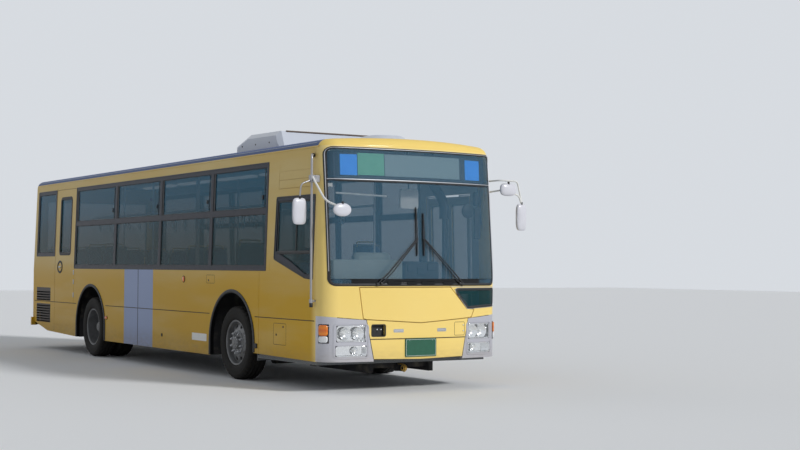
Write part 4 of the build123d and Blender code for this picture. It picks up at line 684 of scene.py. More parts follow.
lid_seams.make("lid_seams", seam_dark, slot="black_plastic")
lid_locks.make("lid_locks", rubber, slot="black_plastic")
markers.make("side_markers", amber, slot="lamp_lens")
white_plate = Finish("white_plate", (0.80, 0.80, 0.78), 0.4)
white_plate.mottle(12.0, (0.74, 0.74, 0.71), (0.84, 0.84, 0.82))
white_plate.grain(60.0, 0.05, 0.0005)
plates.make("blank_side_plate", white_plate, slot="cover_paint")

# Screen seals: black rubber that holds the windscreen and the sign glass, with a bright
# insert round the sign and a silver bar between the two.
FRONT_X, FRONT_BOW, FRONT_CORNER = 5.53, 5.0, 0.22
SCREEN_Y, SCREEN_Z, SIGN_Z = 1.185, (1.25, 2.86), 2.50
SEAL_HALF, SEAL_TOP_Z, BEAD_FOOT_Z = 0.016, 2.872, 1.36


def nose(y, z, over=0.0):
    """The front of the body and its corners, as a surface of Y and Z."""
    front = FRONT_X - FRONT_LEAN * lean(z)
    centre_y = HALF_WIDTH - SIDE_LEAN * lean(z) - FRONT_CORNER
    if abs(y) <= centre_y * FRONT_BOW / (FRONT_BOW - FRONT_CORNER):
        away = Vector((sqrt(FRONT_BOW**2 - y * y), y, 0))
        return Vector((front - FRONT_BOW, 0, z)) + away * (1 + over / FRONT_BOW)
    centre_x = front - FRONT_BOW + sqrt((FRONT_BOW - FRONT_CORNER) ** 2 - centre_y**2)
    across = min(abs(y) - centre_y, FRONT_CORNER)
    away = Vector((sqrt(FRONT_CORNER**2 - across**2), copysign(across, y), 0))
    return Vector((centre_x, copysign(centre_y, y), z)) + away * (1 + over / FRONT_CORNER)


def level_line(first, step, count, z):
    """Points along a level line across the front."""
    return [(first + step * k, z) for k in range(count)]


screen_seals = Build()
silver_trim = Build()
screen_edge = frame_of(about(0, SCREEN_Y - SEAL_HALF), (SCREEN_Z[0] + SEAL_HALF, SEAL_TOP_Z))
screen_line = rounded(screen_edge, 0.08, 0.08)
screen_seals.rim(nose, screen_line, 0.030, 0.009, sink=0.003)
bead = [point for point in screen_line if point[1] >= BEAD_FOOT_Z]
bead.sort(key=lambda point: atan2(point[0], point[1] - 2.0))
silver_trim.rim(nose, bead, 0.007, 0.012, closed=False)
screen_seals.rim(nose, level_line(-1.16, 0.1, 24, SIGN_Z - 0.008), 0.030, 0.006, closed=False)
silver_trim.rim(nose, level_line(-1.16, 0.1, 24, SIGN_Z + 0.004), 0.012, 0.010, closed=False)
screen_seals.make("screen_seals", rubber, slot="black_plastic")

# Foot of the windscreen: the glass is fired black on its inside there, and the covers of the
# wiper linkage stand on it in a row.
FOOT_Y, FOOT_Z, COVER_Z = (-1.16, 1.16), (1.262, 1.336), (1.268, 1.306)
# Y of the middle and half width of each cover
LINKAGE_COVERS = [(-0.37, 0.09), (-0.13, 0.07), (0.10, 0.10), (0.40, 0.08)]
gloss_black = Finish("fired_black", (0.003, 0.003, 0.004), 0.15, Specular_IOR_Level=0.35)
gloss_black.wear(0.10, 0.10, 8.0)
screen_foot = Build()
screen_foot.plate(nose, panel(FOOT_Y, FOOT_Z, 0.03, 0.08), 0.004, ease=0.001)
for y, half in LINKAGE_COVERS:
    screen_foot.plate(nose, panel(about(y, half), COVER_Z, 0.012, 0.06), 0.016, ease=0.006)
screen_foot.make("screen_foot", gloss_black, slot="black_plastic")

# Corner window: a small slanted pane low on the door side of the front. A rubber seal holds
# it, with a bright bead pressed round the seal.
CORNER_WINDOW = [(0.500, 1.210), (1.175, 1.210), (1.165, 1.007), (0.720, 0.984)]
CORNER_BEAD = [(0.478, 1.226), (1.19, 1.226), (1.182, 0.992), (0.712, 0.968)]
corner_seal = Build()
corner_seal.rim(nose, rounded(CORNER_WINDOW, 0.035, 0.06), 0.034, 0.008, sink=0.003)
corner_seal.make("corner_seal", rubber, slot="black_plastic")
silver_trim.rim(nose, rounded(CORNER_BEAD, 0.04, 0.06), 0.006, 0.005)
silver_trim.rim(nose, level_line(0.44, 0.05, 15, 1.2405), 0.008, 0.005, closed=False)

# Sign: blank display board behind the upper glass, with two blank blue squares and a green
# pane beside the long grey display. The display and the panes glow softly: painted light, for the
# blank sign is not lit.
BOARD_DEPTH = 0.046
DOT_PITCH, DOT_HALF = 0.012, 0.0045
board_finish = Finish("sign_board", (0.02, 0.025, 0.04), 0.5)
board_y = abs(board_finish.axes()[1])
board_finish.set("Base Color", board_y.soft(0.75, 1.15).mix((0.045, 0.06, 0.075), (0.012, 0.014, 0.035)))
board_finish.grain(120.0, 0.1, 0.0005)
board = Build()
board_edge = panel((-1.10, 1.10), (SIGN_Z + 0.02, SCREEN_Z[1] - 0.035), 0.03, 0.08)
board.plate(nose, board_edge, 0.002 - BOARD_DEPTH, sink=BOARD_DEPTH, ease=0.001)
board.make("sign_board", board_finish, slot="black_plastic")
# the display's soft glow is painted light
display_finish = Finish("sign_display", (0.11, 0.15, 0.16), 0.35, Emission_Strength=0.8)
dots = [abs(axis.fold(DOT_PITCH)) < DOT_HALF for axis in display_finish.axes()[1:]]
dots = dots[0] * dots[1]
display_finish.set("Base Color", dots.mix((0.085, 0.115, 0.125), (0.15, 0.20, 0.20)))
display_finish.set("Emission Color", dots.mix((0.13, 0.19, 0.21), (0.20, 0.27, 0.28)))


def glowing_pane(name, dark, pale, glow_dark, glow_pale):
    """A pane with a soft painted glow, its colour and its glow each between two shades."""
    finish = Finish(name, dark, 0.35, Emission_Strength=0.8)
    finish.mottle(14.0, dark, pale)
    finish.set("Emission Color", finish.noise(14.0).mix(glow_dark, glow_pale))
    return finish


green_finish = glowing_pane("sign_green", (0.055, 0.20, 0.13), (0.09, 0.28, 0.19),
                        (0.09, 0.30, 0.18), (0.13, 0.37, 0.24))
blue_finish = glowing_pane("sign_blue", (0.015, 0.12, 0.48), (0.03, 0.19, 0.62),
                       (0.02, 0.22, 0.75), (0.04, 0.32, 0.90))
# name, finish, Y span and Z span of each pane of the sign
SIGN_PANES = [
    ("sign_display_pane", display_finish, [((-0.44, 0.66), (2.555, 2.815))]),
    ("sign_green_pane", green_finish, [((-0.79, -0.45), (2.56, 2.82))]),
    ("sign_blue_panes", blue_finish, [((-1.01, -0.80), (2.555, 2.80)), ((0.76, 1.00), (2.555, 2.80))]),
]
for name, finish, spans in SIGN_PANES:
    panes = Build()
    for y, z in spans:
        panes.plate(nose, panel(y, z, 0.006, 0.08), 0.010 - BOARD_DEPTH, sink=BOARD_DEPTH, ease=0.001)
    panes.make(name, finish, slot="black_plastic")

# Front panel fittings: a black recess for the service plug, two slots in bright frames, a
# small lid with two bolts, and the blank green number plate bolted to the bumper.
RECESS = ((-0.658, -0.482), (0.662, 0.798))
SLOTS_Y, SLOT_HALF, SLOT_Z = (-0.307, 0.307), 0.06, (0.711, 0.736)
PLATE = ((-0.22, 0.22), (0.412, 0.628))
# Y and Z of each bolt: in the recess, on the lid, on the plate
BOLTS = [(-0.595, 0.742), (-0.545, 0.742), (0.645, 0.775), (0.645, 0.705), (-0.16, 0.605), (0.16, 0.605)]
BOLT = [(0, 0.009), (0.012, 0.008), (0.014, 0.005), (0.014, 0)]
recess = Build()
recess.well(nose, panel(*RECESS, 0.015, 0.05), 0.045)
recess.rim(nose, panel(*RECESS, 0.02, 0.05), 0.012, 0.005)
slot_bars = Build()
for y in SLOTS_Y:
    slot_y = about(y, SLOT_HALF)
    recess.well(nose, panel(slot_y, SLOT_Z, 0.004, 0.04), 0.03)
    slot_bars.plate(nose, panel(within(slot_y, 0.002), within(SLOT_Z, 0.003), 0.004, 0.04), 0.003)
    silver_trim.rim(nose, panel(within(slot_y, -0.003), within(SLOT_Z, -0.003), 0.006, 0.04), 0.009, 0.004)
recess.make("front_recesses", rubber, slot="black_plastic")
slot_bars.make("slot_bars", satin_steel, slot="pole_steel")
front_seams = Build()
front_seams.rim(nose, panel((0.505, 0.665), (0.652, 0.812), 0.02, 0.06), 0.005, 0.001)
front_seams.rim(nose, level_line(-0.67, 0.0447, 31, 0.6275), 0.010, 0.001, closed=False)
front_bolts = Build()
for y, z in BOLTS:
    front_bolts.turn(BOLT, nose(y, z, -0.002), (1, 0, 0), 6)
front_bolts.make("front_bolts", satin_steel, slot="pole_steel")
green_plate = Finish("number_plate", (0.012, 0.10, 0.055), 0.35)
green_plate.mottle(18.0, (0.010, 0.085, 0.045), (0.018, 0.12, 0.07))
green_plate.grain(90.0, 0.05, 0.0005)
number_plate = Build()
number_plate.plate(nose, panel(*PLATE, 0.015, 0.06), 0.012, ease=0.002)
number_plate.make("blank_number_plate", green_plate, slot="black_plastic")
plate_edge = Build()
plate_edge.rim(nose, panel(within(PLATE[0], 0.012), within(PLATE[1], 0.012), 0.01, 0.06), 0.004, 0.0135)
plate_edge.make("number_plate_line", white_plate, slot="cover_paint")

# Lamp cover trim: a raised lip round each pair of lamps, and the dark joint between the
# silver cover and the yellow panels.
LIP = ((0.700, 1.118), (0.412, 0.808))
COVER_JOINT = [(0.633, 0.40), (0.724, 0.855), (0.90, 0.8696), (1.08, 0.885), (1.20, 0.895)]


def mirrored(surface, side):
    """A surface across the bus, counted from its middle towards one side."""
    return lambda u, v, over=0.0: surface(side * u, v, over)


cover_lips = Build()
for side in SIDES:
    cover_lips.rim(mirrored(nose, side), panel(*LIP, 0.05, 0.06), 0.014, 0.006)
    front_seams.rim(mirrored(nose, side), COVER_JOINT, 0.007, 0.001, closed=False)
cover_lips.make("lamp_cover_lips", silver, slot="cover_paint")
front_seams.make("front_seams", seam_dark, slot="black_plastic")
silver_trim.make("silver_trim", satin_steel, slot="pole_steel")

# Front lamps: bright wells behind clear lenses, with two turned bowls in each headlamp and
# one in each fog lamp. They stand in for the plain blocks of the frame.
WELL_DEPTH, BOWL_DEPTH, BULB_DEPTH = 0.07, 0.066, 0.064
# Y and Z spans of a lamp, scale of its bowls, Y of each bowl
FRONT_LAMPS = [
    (((0.735, 1.085), (0.605, 0.785)), 1.0, (0.825, 0.985)),
    (((0.725, 1.095), (0.435, 0.551)), 0.62, (0.855,)),
]
BOWL = [(0.0, 0.0), (0.002, 0.022), (0.010, 0.045), (0.024, 0.062), (0.040, 0.074), (0.042, 0.078)]
BULB = [(0, 0), (0, 0.010), (0.020, 0.012), (0.030, 0.008), (0.033, 0)]
chrome = Finish("reflector_chrome", (0.86, 0.87, 0.88), 0.08, Metallic=1.0)
chrome.wear(0.05, 0.1, 30.0)
chrome.grain(140.0, 0.12, 0.0008, 1.0)
clear_lens = Finish("clear_lens", (0.85, 0.88, 0.90), 0.04, Coat_Weight=1.0, Alpha=0.16,
                    Specular_IOR_Level=1.0)
clear_lens.bump(clear_lens.axes()[1].fold(0.016) * 120, 0.25, 0.001)
wells = Build()
bulbs = Build()
lenses = Build()
for side, (spans, size, bowls_y) in product(SIDES, FRONT_LAMPS):
    face = mirrored(nose, side)
    wells.well(face, panel(*spans, 0.03, 0.05), WELL_DEPTH)
    wells.rim(face, panel(*spans, 0.03, 0.05), 0.006, 0.002)
    lenses.plate(face, panel(*spans, 0.028, 0.05), 0.003, crown=0.004)
    bowl, z = [(along * size, radius * size) for along, radius in BOWL], sum(spans[1]) / 2
    for y in bowls_y:
        wells.turn(bowl, face(y, z, -BOWL_DEPTH), (1, 0, 0))
        bulbs.turn(BULB, face(y, z, -BULB_DEPTH), (1, 0, 0), 16)
wells = wells.make("front_lamp_wells", chrome, slot="lamp_lens")
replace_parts(wells, "lamps")
bulbs.make("front_lamp_bulbs", white_plate, slot="lamp_lens")
lenses.make("front_lamp_lenses", clear_lens, slot="lamp_lens")

# Turn lamps: upright lamps on the two front corners, amber above and clear below, each in a
# black rubber base.
TURN_SPAN, TURN_Z, TURN_SPLIT_Z = (0.158, 0.292), (0.587, 0.806), 0.672
TURN_EDGE, TURN_GAP = 0.008, 0.002


def corner(side):
    """A front corner below the waist, as a surface of the distance round it and Z."""
    centre_y = HALF_WIDTH - FRONT_CORNER
    centre_x = FRONT_X - FRONT_BOW + sqrt((FRONT_BOW - FRONT_CORNER) ** 2 - centre_y**2)

    def point(round_it, z, over=0.0):
        turned = round_it / FRONT_CORNER
        away = Vector((cos(turned), side * sin(turned), 0)) * (FRONT_CORNER + over)
        return Vector((centre_x, side * centre_y, z)) + away

    return point


turn_amber = Build()
turn_clear = Build()
turn_base = Build()
inner = within(TURN_SPAN, TURN_EDGE)
upper = (TURN_SPLIT_Z + TURN_GAP, TURN_Z[1] - TURN_EDGE)
lower = (TURN_Z[0] + TURN_EDGE, TURN_SPLIT_Z - TURN_GAP)
for side in SIDES:
    turn_base.plate(corner(side), panel(TURN_SPAN, TURN_Z, 0.038, 0.03), 0.004, sink=0.03)
    for lamp, z in ((turn_amber, upper), (turn_clear, lower)):
        lamp.plate(corner(side), panel(inner, z, 0.030, 0.03), 0.020, ease=0.008)
turn_base.make("turn_lamp_bases", rubber, slot="black_plastic")
turn_amber.make("turn_lamp_amber", amber, slot="lamp_lens")
frosted = Finish("frosted_lens", (0.80, 0.82, 0.84), 0.2, Coat_Weight=1.0)
frosted.mottle(30.0, (0.70, 0.72, 0.75), (0.88, 0.89, 0.90))
frosted.bump(frosted.axes()[2].fold(0.008) * 120, 0.4, 0.001)
turn_clear.make("turn_lamp_clear", frosted, slot="lamp_lens")

# Rear lamps: a black panel on each side of the engine hatch with red, amber and clear
# lenses, and a small red lamp high on each corner.
REAR_X, REAR_BOW = -5.56, 9.0
LENS_Y, HIGH_LAMP, REFLECTOR = (1.008, 1.112), ((1.0, 1.09), (2.70, 2.76)), ((0.93, 1.05), (0.47, 0.505))
REFLECTOR_OUT = 0.04


def tail(y, z, over=0.0):
    """The rear of the body between its corners, as a surface of Y and Z."""
    rear = REAR_X + REAR_LEAN * lean(z)
    away = Vector((-sqrt(REAR_BOW**2 - y * y), y, 0))
    return Vector((rear + REAR_BOW, 0, z)) + away * (1 + over / REAR_BOW)


red = Finish("red_lens", (0.55, 0.012, 0.010), 0.16, Coat_Weight=1.0)
red.mottle(40.0, (0.48, 0.008, 0.006), (0.66, 0.02, 0.015))
red.bump(red.axes()[2].fold(0.007) * 140, 0.4, 0.001)
# name, finish and Z spans of the lenses on each panel
REAR_LENSES = [
    ("rear_red_lenses", red, [(1.055, 1.225), (0.655, 0.735)]),
    ("rear_amber_lenses", amber, [(0.90, 1.045)]),
    ("rear_clear_lenses", frosted, [(0.745, 0.89)]),
]
for name, finish, spans in REAR_LENSES:
    lens_set = Build()
    for side in SIDES:
        face = mirrored(tail, side)
        for z in spans:
            lens_set.plate(face, panel(LENS_Y, z, 0.02, 0.05), 0.024, ease=0.008, crown=0.003)
        if finish is red:
            lens_set.plate(face, panel(*HIGH_LAMP, 0.015, 0.05), 0.018, ease=0.006)
            lens_set.plate(lambda u, v, over=0.0: face(u, v, over + REFLECTOR_OUT),
                           panel(*REFLECTOR, 0.01, 0.05), 0.006)
    lens_set.make(name, finish, slot="lamp_lens")
rear_base = Build()
for side in SIDES:
    rear_base.plate(mirrored(tail, side), panel((1.0, 1.12), (0.642, 1.238), 0.02, 0.06), 0.008, sink=0.03)
rear_base.make("rear_lamp_panels", rubber, slot="black_plastic")

# Rear fittings: rubber round the rear pane, a blank sign over it, and on the hatch a blank
# plate, two hinges, a pull handle and a frame round the louvres.
# Y and Z spans of each fitting; those of the hatch frame and hinge are on its left half
REAR_PANE, REAR_PLATE = ((-0.96, 0.96), (1.64, 2.64)), ((-0.22, 0.22), (1.03, 1.245))
SIGN_BACK, REAR_SIGN = ((-0.50, 0.50), (2.685, 2.855)), ((-0.46, 0.46), (2.71, 2.83))
HATCH_FRAME, HATCH_HINGE = ((0.105, 0.715), (0.635, 0.965)), ((0.52, 0.64), (1.27, 1.324))
HATCH_PULL = ((-0.09, 0.09), (0.585, 0.615))
rear_trim = Build()
rear_trim.rim(tail, panel(*REAR_PANE, 0.06, 0.1), 0.034, 0.008, sink=0.004)
rear_trim.plate(tail, panel(*SIGN_BACK, 0.02, 0.1), 0.008)
rear_trim.make("rear_trim", rubber, slot="black_plastic")
rear_display = Build()
# the rear sign takes the display's finish and its painted glow
rear_display.plate(tail, panel(*REAR_SIGN, 0.01, 0.1), 0.010)
rear_display.make("rear_sign_pane", display_finish, slot="black_plastic")
hatch_trim = Build()
for side in SIDES:
    hatch_trim.rim(mirrored(tail, side), panel(*HATCH_FRAME, 0.02, 0.1), 0.014, 0.006)
    hatch_trim.plate(mirrored(tail, side), panel(*HATCH_HINGE, 0.01, 0.06), 0.008)
hatch_trim.plate(tail, panel(*HATCH_PULL, 0.012, 0.06), 0.022, ease=0.006)
hatch_trim.make("hatch_trim", rubber, "hatch_rear", "black_plastic")
rear_plate = Build()
rear_plate.plate(tail, panel(*REAR_PLATE, 0.015, 0.08), 0.012)
rear_plate.make("blank_rear_plate", green_plate, "hatch_rear", "black_plastic")

# Glass: green tinted safety glass at the sides, drawn bluer higher up as painted reflection of the
# sky, and clearer laminated glass at the front. All of it is bonded into its frames.
side_glass = Finish("side_glass", (0.006, 0.085, 0.105), 0.02, IOR=1.5, Specular_IOR_Level=0.16, Alpha=0.58)
height = side_glass.axes()[2]
# bluer higher up: painted reflection of the sky
side_glass.set("Base Color", height.soft(1.7, 2.7).mix((0.004, 0.050, 0.060), (0.004, 0.135, 0.240)))
screen_glass = Finish("screen_glass", (0.072, 0.175, 0.265), 0.02, IOR=1.5, Specular_IOR_Level=0.4,
                      Alpha=0.30)
for glass in (side_glass, screen_glass):
    glass.grain(0.9, 0.05, 0.01, 1.0)
dress(["body_glass", "emergency_glass", "door_glass_middle", "door_glass_rear", "door_glass_front"],
      side_glass)
dress(["front_glass"], screen_glass)

# Chassis: rails, axles and knuckles in black paint under road dirt, and a cast iron engine.
# The boxes over the wheels are grey inside the cabin, and as dirty as the rails under it.
CHASSIS_BLACK, CHASSIS_DIRT = (0.02, 0.02, 0.022), (0.09, 0.08, 0.065)
# half length and top of a box over a wheel, radius of its upper edges, Y of its inner face
BOX_HALF, BOX_TOP_Z, BOX_CORNER, BOX_INNER_Y, BOX_REAR_OUT = 0.665, 1.165, 0.23, 0.53, 0.04
chassis = Finish("chassis_black", (0.010, 0.010, 0.011), 0.7, Specular_IOR_Level=0.2)
chassis.set("Base Color", chassis.noise(6.0, 5.0).soft(0.45, 0.75).mix(CHASSIS_BLACK, CHASSIS_DIRT))
chassis.grain(90.0, 0.3, 0.001)
dress(["underframe", "underframe_front", "underframe_rear", "front_axle", "rear_axle", "knuckle_left",
       "knuckle_right"], chassis)
wheel_box = Finish("wheel_box", (0.10, 0.105, 0.11), 0.75)
x, y, z = wheel_box.axes()
along = x.math("MINIMUM", abs(x - AXLES_X[0]), abs(x - AXLES_X[1]))
past_side = x.math("MAXIMUM", along - (BOX_HALF - BOX_CORNER), 0.0)
past_top = x.math("MAXIMUM", z - (BOX_TOP_Z - BOX_CORNER), 0.0)
outside = past_side * past_side + past_top * past_top > BOX_CORNER**2
covered = (outside + (abs(y) < BOX_INNER_Y + (x < 0) * BOX_REAR_OUT)) > 0.5
under_box = wheel_box.noise(6.0, 5.0).soft(0.45, 0.75).mix(CHASSIS_BLACK, CHASSIS_DIRT)
box_grey = wheel_box.noise(200.0, 3.0).mix((0.09, 0.095, 0.10), (0.15, 0.16, 0.17))
wheel_box.set("Base Color", covered.mix(under_box, box_grey))
wheel_box.grain(90.0, 0.3, 0.001)
dress(["housing_front_left", "housing_front_right", "housing_rear_left", "housing_rear_right"], wheel_box)
iron = Finish("engine_iron", (0.06, 0.06, 0.062), 0.7, Metallic=0.4)
iron.mottle(12.0, (0.03, 0.03, 0.03), (0.11, 0.10, 0.09), 5.0)
iron.grain(60.0, 0.5, 0.002)
dress(["engine"], iron)

# Floor: grey safety flooring with fine grit, glued over the boards of the whole cabin and of
# the driver's platform.
flooring = Finish("flooring", (0.13, 0.14, 0.15), 0.75)
grit = flooring.noise(900.0, 1.0).soft(0.45, 0.6)
flooring.set("Base Color", grit.mix((0.11, 0.12, 0.13), (0.24, 0.25, 0.26)))
flooring.grain(700.0, 0.4, 0.001, 1.0)
dress(["floor", "rear_floor", "driver_platform"], flooring)

# Black moulded plastic: dashboard, steering wheel, wipers and other small fittings, all
# moulded with a fine grain.
plastic = Finish("black_plastic", (0.02, 0.02, 0.022), 0.45)
plastic.wear(0.4, 0.2, 40.0)
plastic.grain(650.0, 0.2, 0.0006, 2.0)
dress(["dashboard", "steering_wheel", "wipers"], plastic)

# Steel: tube of the poles and the door posts, brushed along its length and clamped in
# sockets at both ends.
steel = Finish("brushed_steel", (0.62, 0.63, 0.65), 0.3, Metallic=1.0)
steel.wear(0.22, 0.2, 60.0, 3.0, (1, 1, 0.05))
steel.grain(800.0, 0.08, 0.0004, 1.0, (1, 1, 0.02))
dress(["grab_poles", "door_post_rear", "door_post_front"], steel)

# Mirror shells: pale grey moulded plastic with a soft gloss, clipped over the backs of the
# mirrors.
shell = Finish("mirror_shell", (0.66, 0.66, 0.71), 0.3, Coat_Weight=0.4)
shell.grain(300.0, 0.05, 0.0006, 2.0)
dress(["mirrors"], shell)

# Air conditioner and dome: glass-fibre covers painted white, bolted down on the roof, and drawn
# blue-grey as painted shade tinted by the sky's reflection. Their surface waves slightly, as
# laid-up fibre does.
cover_white = Finish("cover_white", (0.72, 0.76, 0.84), 0.35, Coat_Weight=0.3)
# blue-grey shades of the white covers: painted shade and sky reflection
cover_white.mottle(2.0, (0.53, 0.57, 0.65), (0.62, 0.65, 0.71), 4.0)
cover_white.grain(5.0, 0.1, 0.004, 2.0)
dress(["roof_units"], cover_white)

# Air conditioner fittings: a dark seal where the unit meets the roof, a trim strip along its
# front top edge, cover bolts down its sides and louvres in its sloping back.
AC_X, AC_HALF, AC_FRONT_TOP = (2.10, 3.46), 0.815, (3.375, 3.238)
AC_SEAL_Z, AC_CROWN_Z, AC_BOLTS_X, AC_BOLTS_Z = 3.014, 3.022, (2.35, 2.75, 3.15), 3.10
AC_SLOPE = Matrix.Translation((2.30, 0, 3.194)) @ Matrix.Rotation(radians(-16.7), 4, "Y")
COVER_BOLT = [(0, 0.012), (0.006, 0.010), (0.008, 0)]
LOUVRES, LOUVRE_PITCH = 7, 0.045
ac_seal = Build()
for side in SIDES:
    ac_seal.tube([(x, side * AC_HALF, AC_SEAL_Z) for x in within(AC_X, 0.1)], 0.012)
for x in AC_X:
    across = [y / 10 for y in range(-7, 8)]
    ac_seal.tube([(x, y, AC_CROWN_Z - y * y / (2 * ROOF_CROWN_RADIUS)) for y in across], 0.012)
ac_seal.make("unit_base_seal", rubber, slot="black_plastic")
ac_strip = Build()
ac_strip.tube([(AC_FRONT_TOP[0], y, AC_FRONT_TOP[1]) for y in (-0.70, 0.70)], 0.011)
ac_strip_finish = Finish("unit_trim", (0.10, 0.06, 0.04), 0.5)
ac_strip_finish.mottle(25.0, (0.07, 0.045, 0.03), (0.14, 0.09, 0.06))
ac_strip_finish.grain(200.0, 0.1, 0.0005)
ac_strip.make("unit_trim_strip", ac_strip_finish, slot="unit_paint")
unit_parts = Build()
for k in range(LOUVRES):
    start = -0.15 + LOUVRE_PITCH * k
    unit_parts.block((start, start + 0.025), (-0.55, 0.55), (-0.004, 0.012), 0.003, AC_SLOPE)
for side, x in product(SIDES, AC_BOLTS_X):
    unit_parts.turn(COVER_BOLT, (x, side * 0.829, AC_BOLTS_Z), (0, side, 0), 10)
unit_parts.make("unit_louvres_and_bolts", plastic, slot="unit_paint")

# Mirrors: a silver pipe stands off the right front corner on two brackets and carries two
# heads on thin arms. The left corner carries two more on a bent double arm.
POLE, POLE_Z = (5.175, -1.300), (1.02, 2.79)
POLE_END, POLE_CAP_PLACE, POLE_CAP_WAY = (5.065, -1.222), (5.085, -1.236), (-0.82, 0.58, 0)
COLLAR, COLLARS_Z = [(-0.022, 0.018), (-0.022, 0.023), (0.022, 0.023), (0.022, 0.018)], (1.075, 2.505)
BRACKET_BOLT, BRACKET_BOLTS_Z = [(0, 0.011), (0.008, 0.010), (0.010, 0)], (2.480, 2.530)
FOOT_CAP = [(0, 0), (0, 0.018), (0.004, 0.021), (0.050, 0.021), (0.054, 0.018)]
TOP_CAP = [(0, 0.018), (0.004, 0.024), (0.040, 0.024), (0.046, 0.0)]
HEAD_JOINT = [(0, 0.014), (0.030, 0.014), (0.034, 0.010)]
# points along an arm, its radius, how far its bends reach
MIRROR_ARMS = [
    ([(5.176, -1.302, 2.545), (5.45, -1.27, 2.235), (5.630, -1.180, 2.165)], 0.0125, 0.09),
    ([(5.19, 1.19, 2.560), (5.40, 1.26, 2.570), (5.470, 1.48, 2.560), (5.480, 1.55, 2.27)], 0.011, 0.04),
    ([(5.19, 1.19, 2.420), (5.44, 1.30, 2.450), (5.478, 1.50, 2.380), (5.480, 1.54, 2.27)], 0.011, 0.04),
]
# centre, half width, half height, half depth, power that squares its outline (1 is an oval)
MIRROR_HEADS = [
    ((5.160, -1.450, 2.120), 0.088, 0.155, 0.022, 0.45),
    ((5.640, -1.150, 2.130), 0.115, 0.076, 0.024, 0.95),
    ((5.480, 1.540, 2.110), 0.075, 0.170, 0.024, 0.50),
    ((5.500, 1.320, 2.450), 0.115, 0.076, 0.028, 0.60),
]


def upright(centre, facing=1):
    """An upright plane through a point, as a surface of Y and Z counted from that point."""
    return lambda u, v, over=0.0: Vector((centre[0] + facing * over, centre[1] + u, centre[2] + v))


pipe_silver = Finish("pipe_silver", (0.36, 0.36, 0.38), 0.34, Metallic=0.6)
pipe_silver.wear(0.24, 0.2, 50.0)
pipe_silver.grain(300.0, 0.05, 0.0004)
pole = Build()
pole.tube([(*POLE, POLE_Z[0]), (*POLE, POLE_Z[1]), (*POLE_END, POLE_Z[1])], 0.014, 0.06, 16)
for z in COLLARS_Z:
    pole.turn(COLLAR, (*POLE, z), (0, 0, 1), 16)
pole.block((5.158, 5.192), (-1.30, -1.236), (1.064, 1.086), 0.003)
pole.block((5.140, 5.205), (-1.325, -1.205), (2.462, 2.548), 0.006)
for z in BRACKET_BOLTS_Z:
    pole.turn(BRACKET_BOLT, (5.204, -1.255, z), (1, 0, 0), 6)
pole.tube([(*POLE, 2.49), (5.175, -1.44, 2.44), (5.160, -1.45, 2.28)], 0.009, 0.045)
pole = pole.make("mirror_pipe", pipe_silver, slot="mirror_shell")
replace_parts(pole, "mirrors")
arms = Build()
for points, radius, reach in MIRROR_ARMS:
    arms.tube(points, radius, reach)
arms.make("mirror_arms", white_plate, slot="mirror_shell")
pole_caps = Build()
pole_caps.turn(FOOT_CAP, (*POLE, 1.002), (0, 0, 1), 16)
pole_caps.turn(TOP_CAP, (*POLE_CAP_PLACE, POLE_Z[1]), POLE_CAP_WAY, 16)
heads = Build()
glasses = Build()
for centre, half_y, half_z, depth, round_by in MIRROR_HEADS:
    front, back = upright(centre), upright(centre, -1)
    circle = oval((0, 0), 1, 1, 36)
    outline = [Vector((half_y * copysign(abs(u) ** round_by, u), half_z * copysign(abs(v) ** round_by, v)))
               for u, v in circle]
    heads.plate(front, outline, 0.4 * depth, sink=0.6 * depth, ease=0.010, crown=0.6 * depth)
    heads.rim(back, [point * 0.96 for point in outline], 0.010, 0.3 * depth, sink=-0.6 * depth)
    glasses.plate(back, [point * 0.93 for point in outline], 0.6 * depth + 0.003, crown=0.002)
    pole_caps.turn(HEAD_JOINT, front(0, half_z - 0.012, 0), (0, 0, 1), 12)
pole_caps.make("mirror_joints", rubber, slot="black_plastic")
heads.make("mirror_heads", shell, slot="mirror_shell")
mirror_glass = Finish("mirror_glass", (0.80, 0.84, 0.86), 0.03, Metallic=1.0)
mirror_glass.wear(0.02, 0.03, 6.0)
glasses.make("mirror_glasses", mirror_glass, slot="mirror_shell")

# Wipers: each has a pivot cap, a pair of thin steel arms painted black, and a claw bracket
# that presses its rubber blade on the glass.
PIVOT_CAP = [(-0.01, 0.024), (0.020, 0.023), (0.026, 0.018), (0.030, 0)]
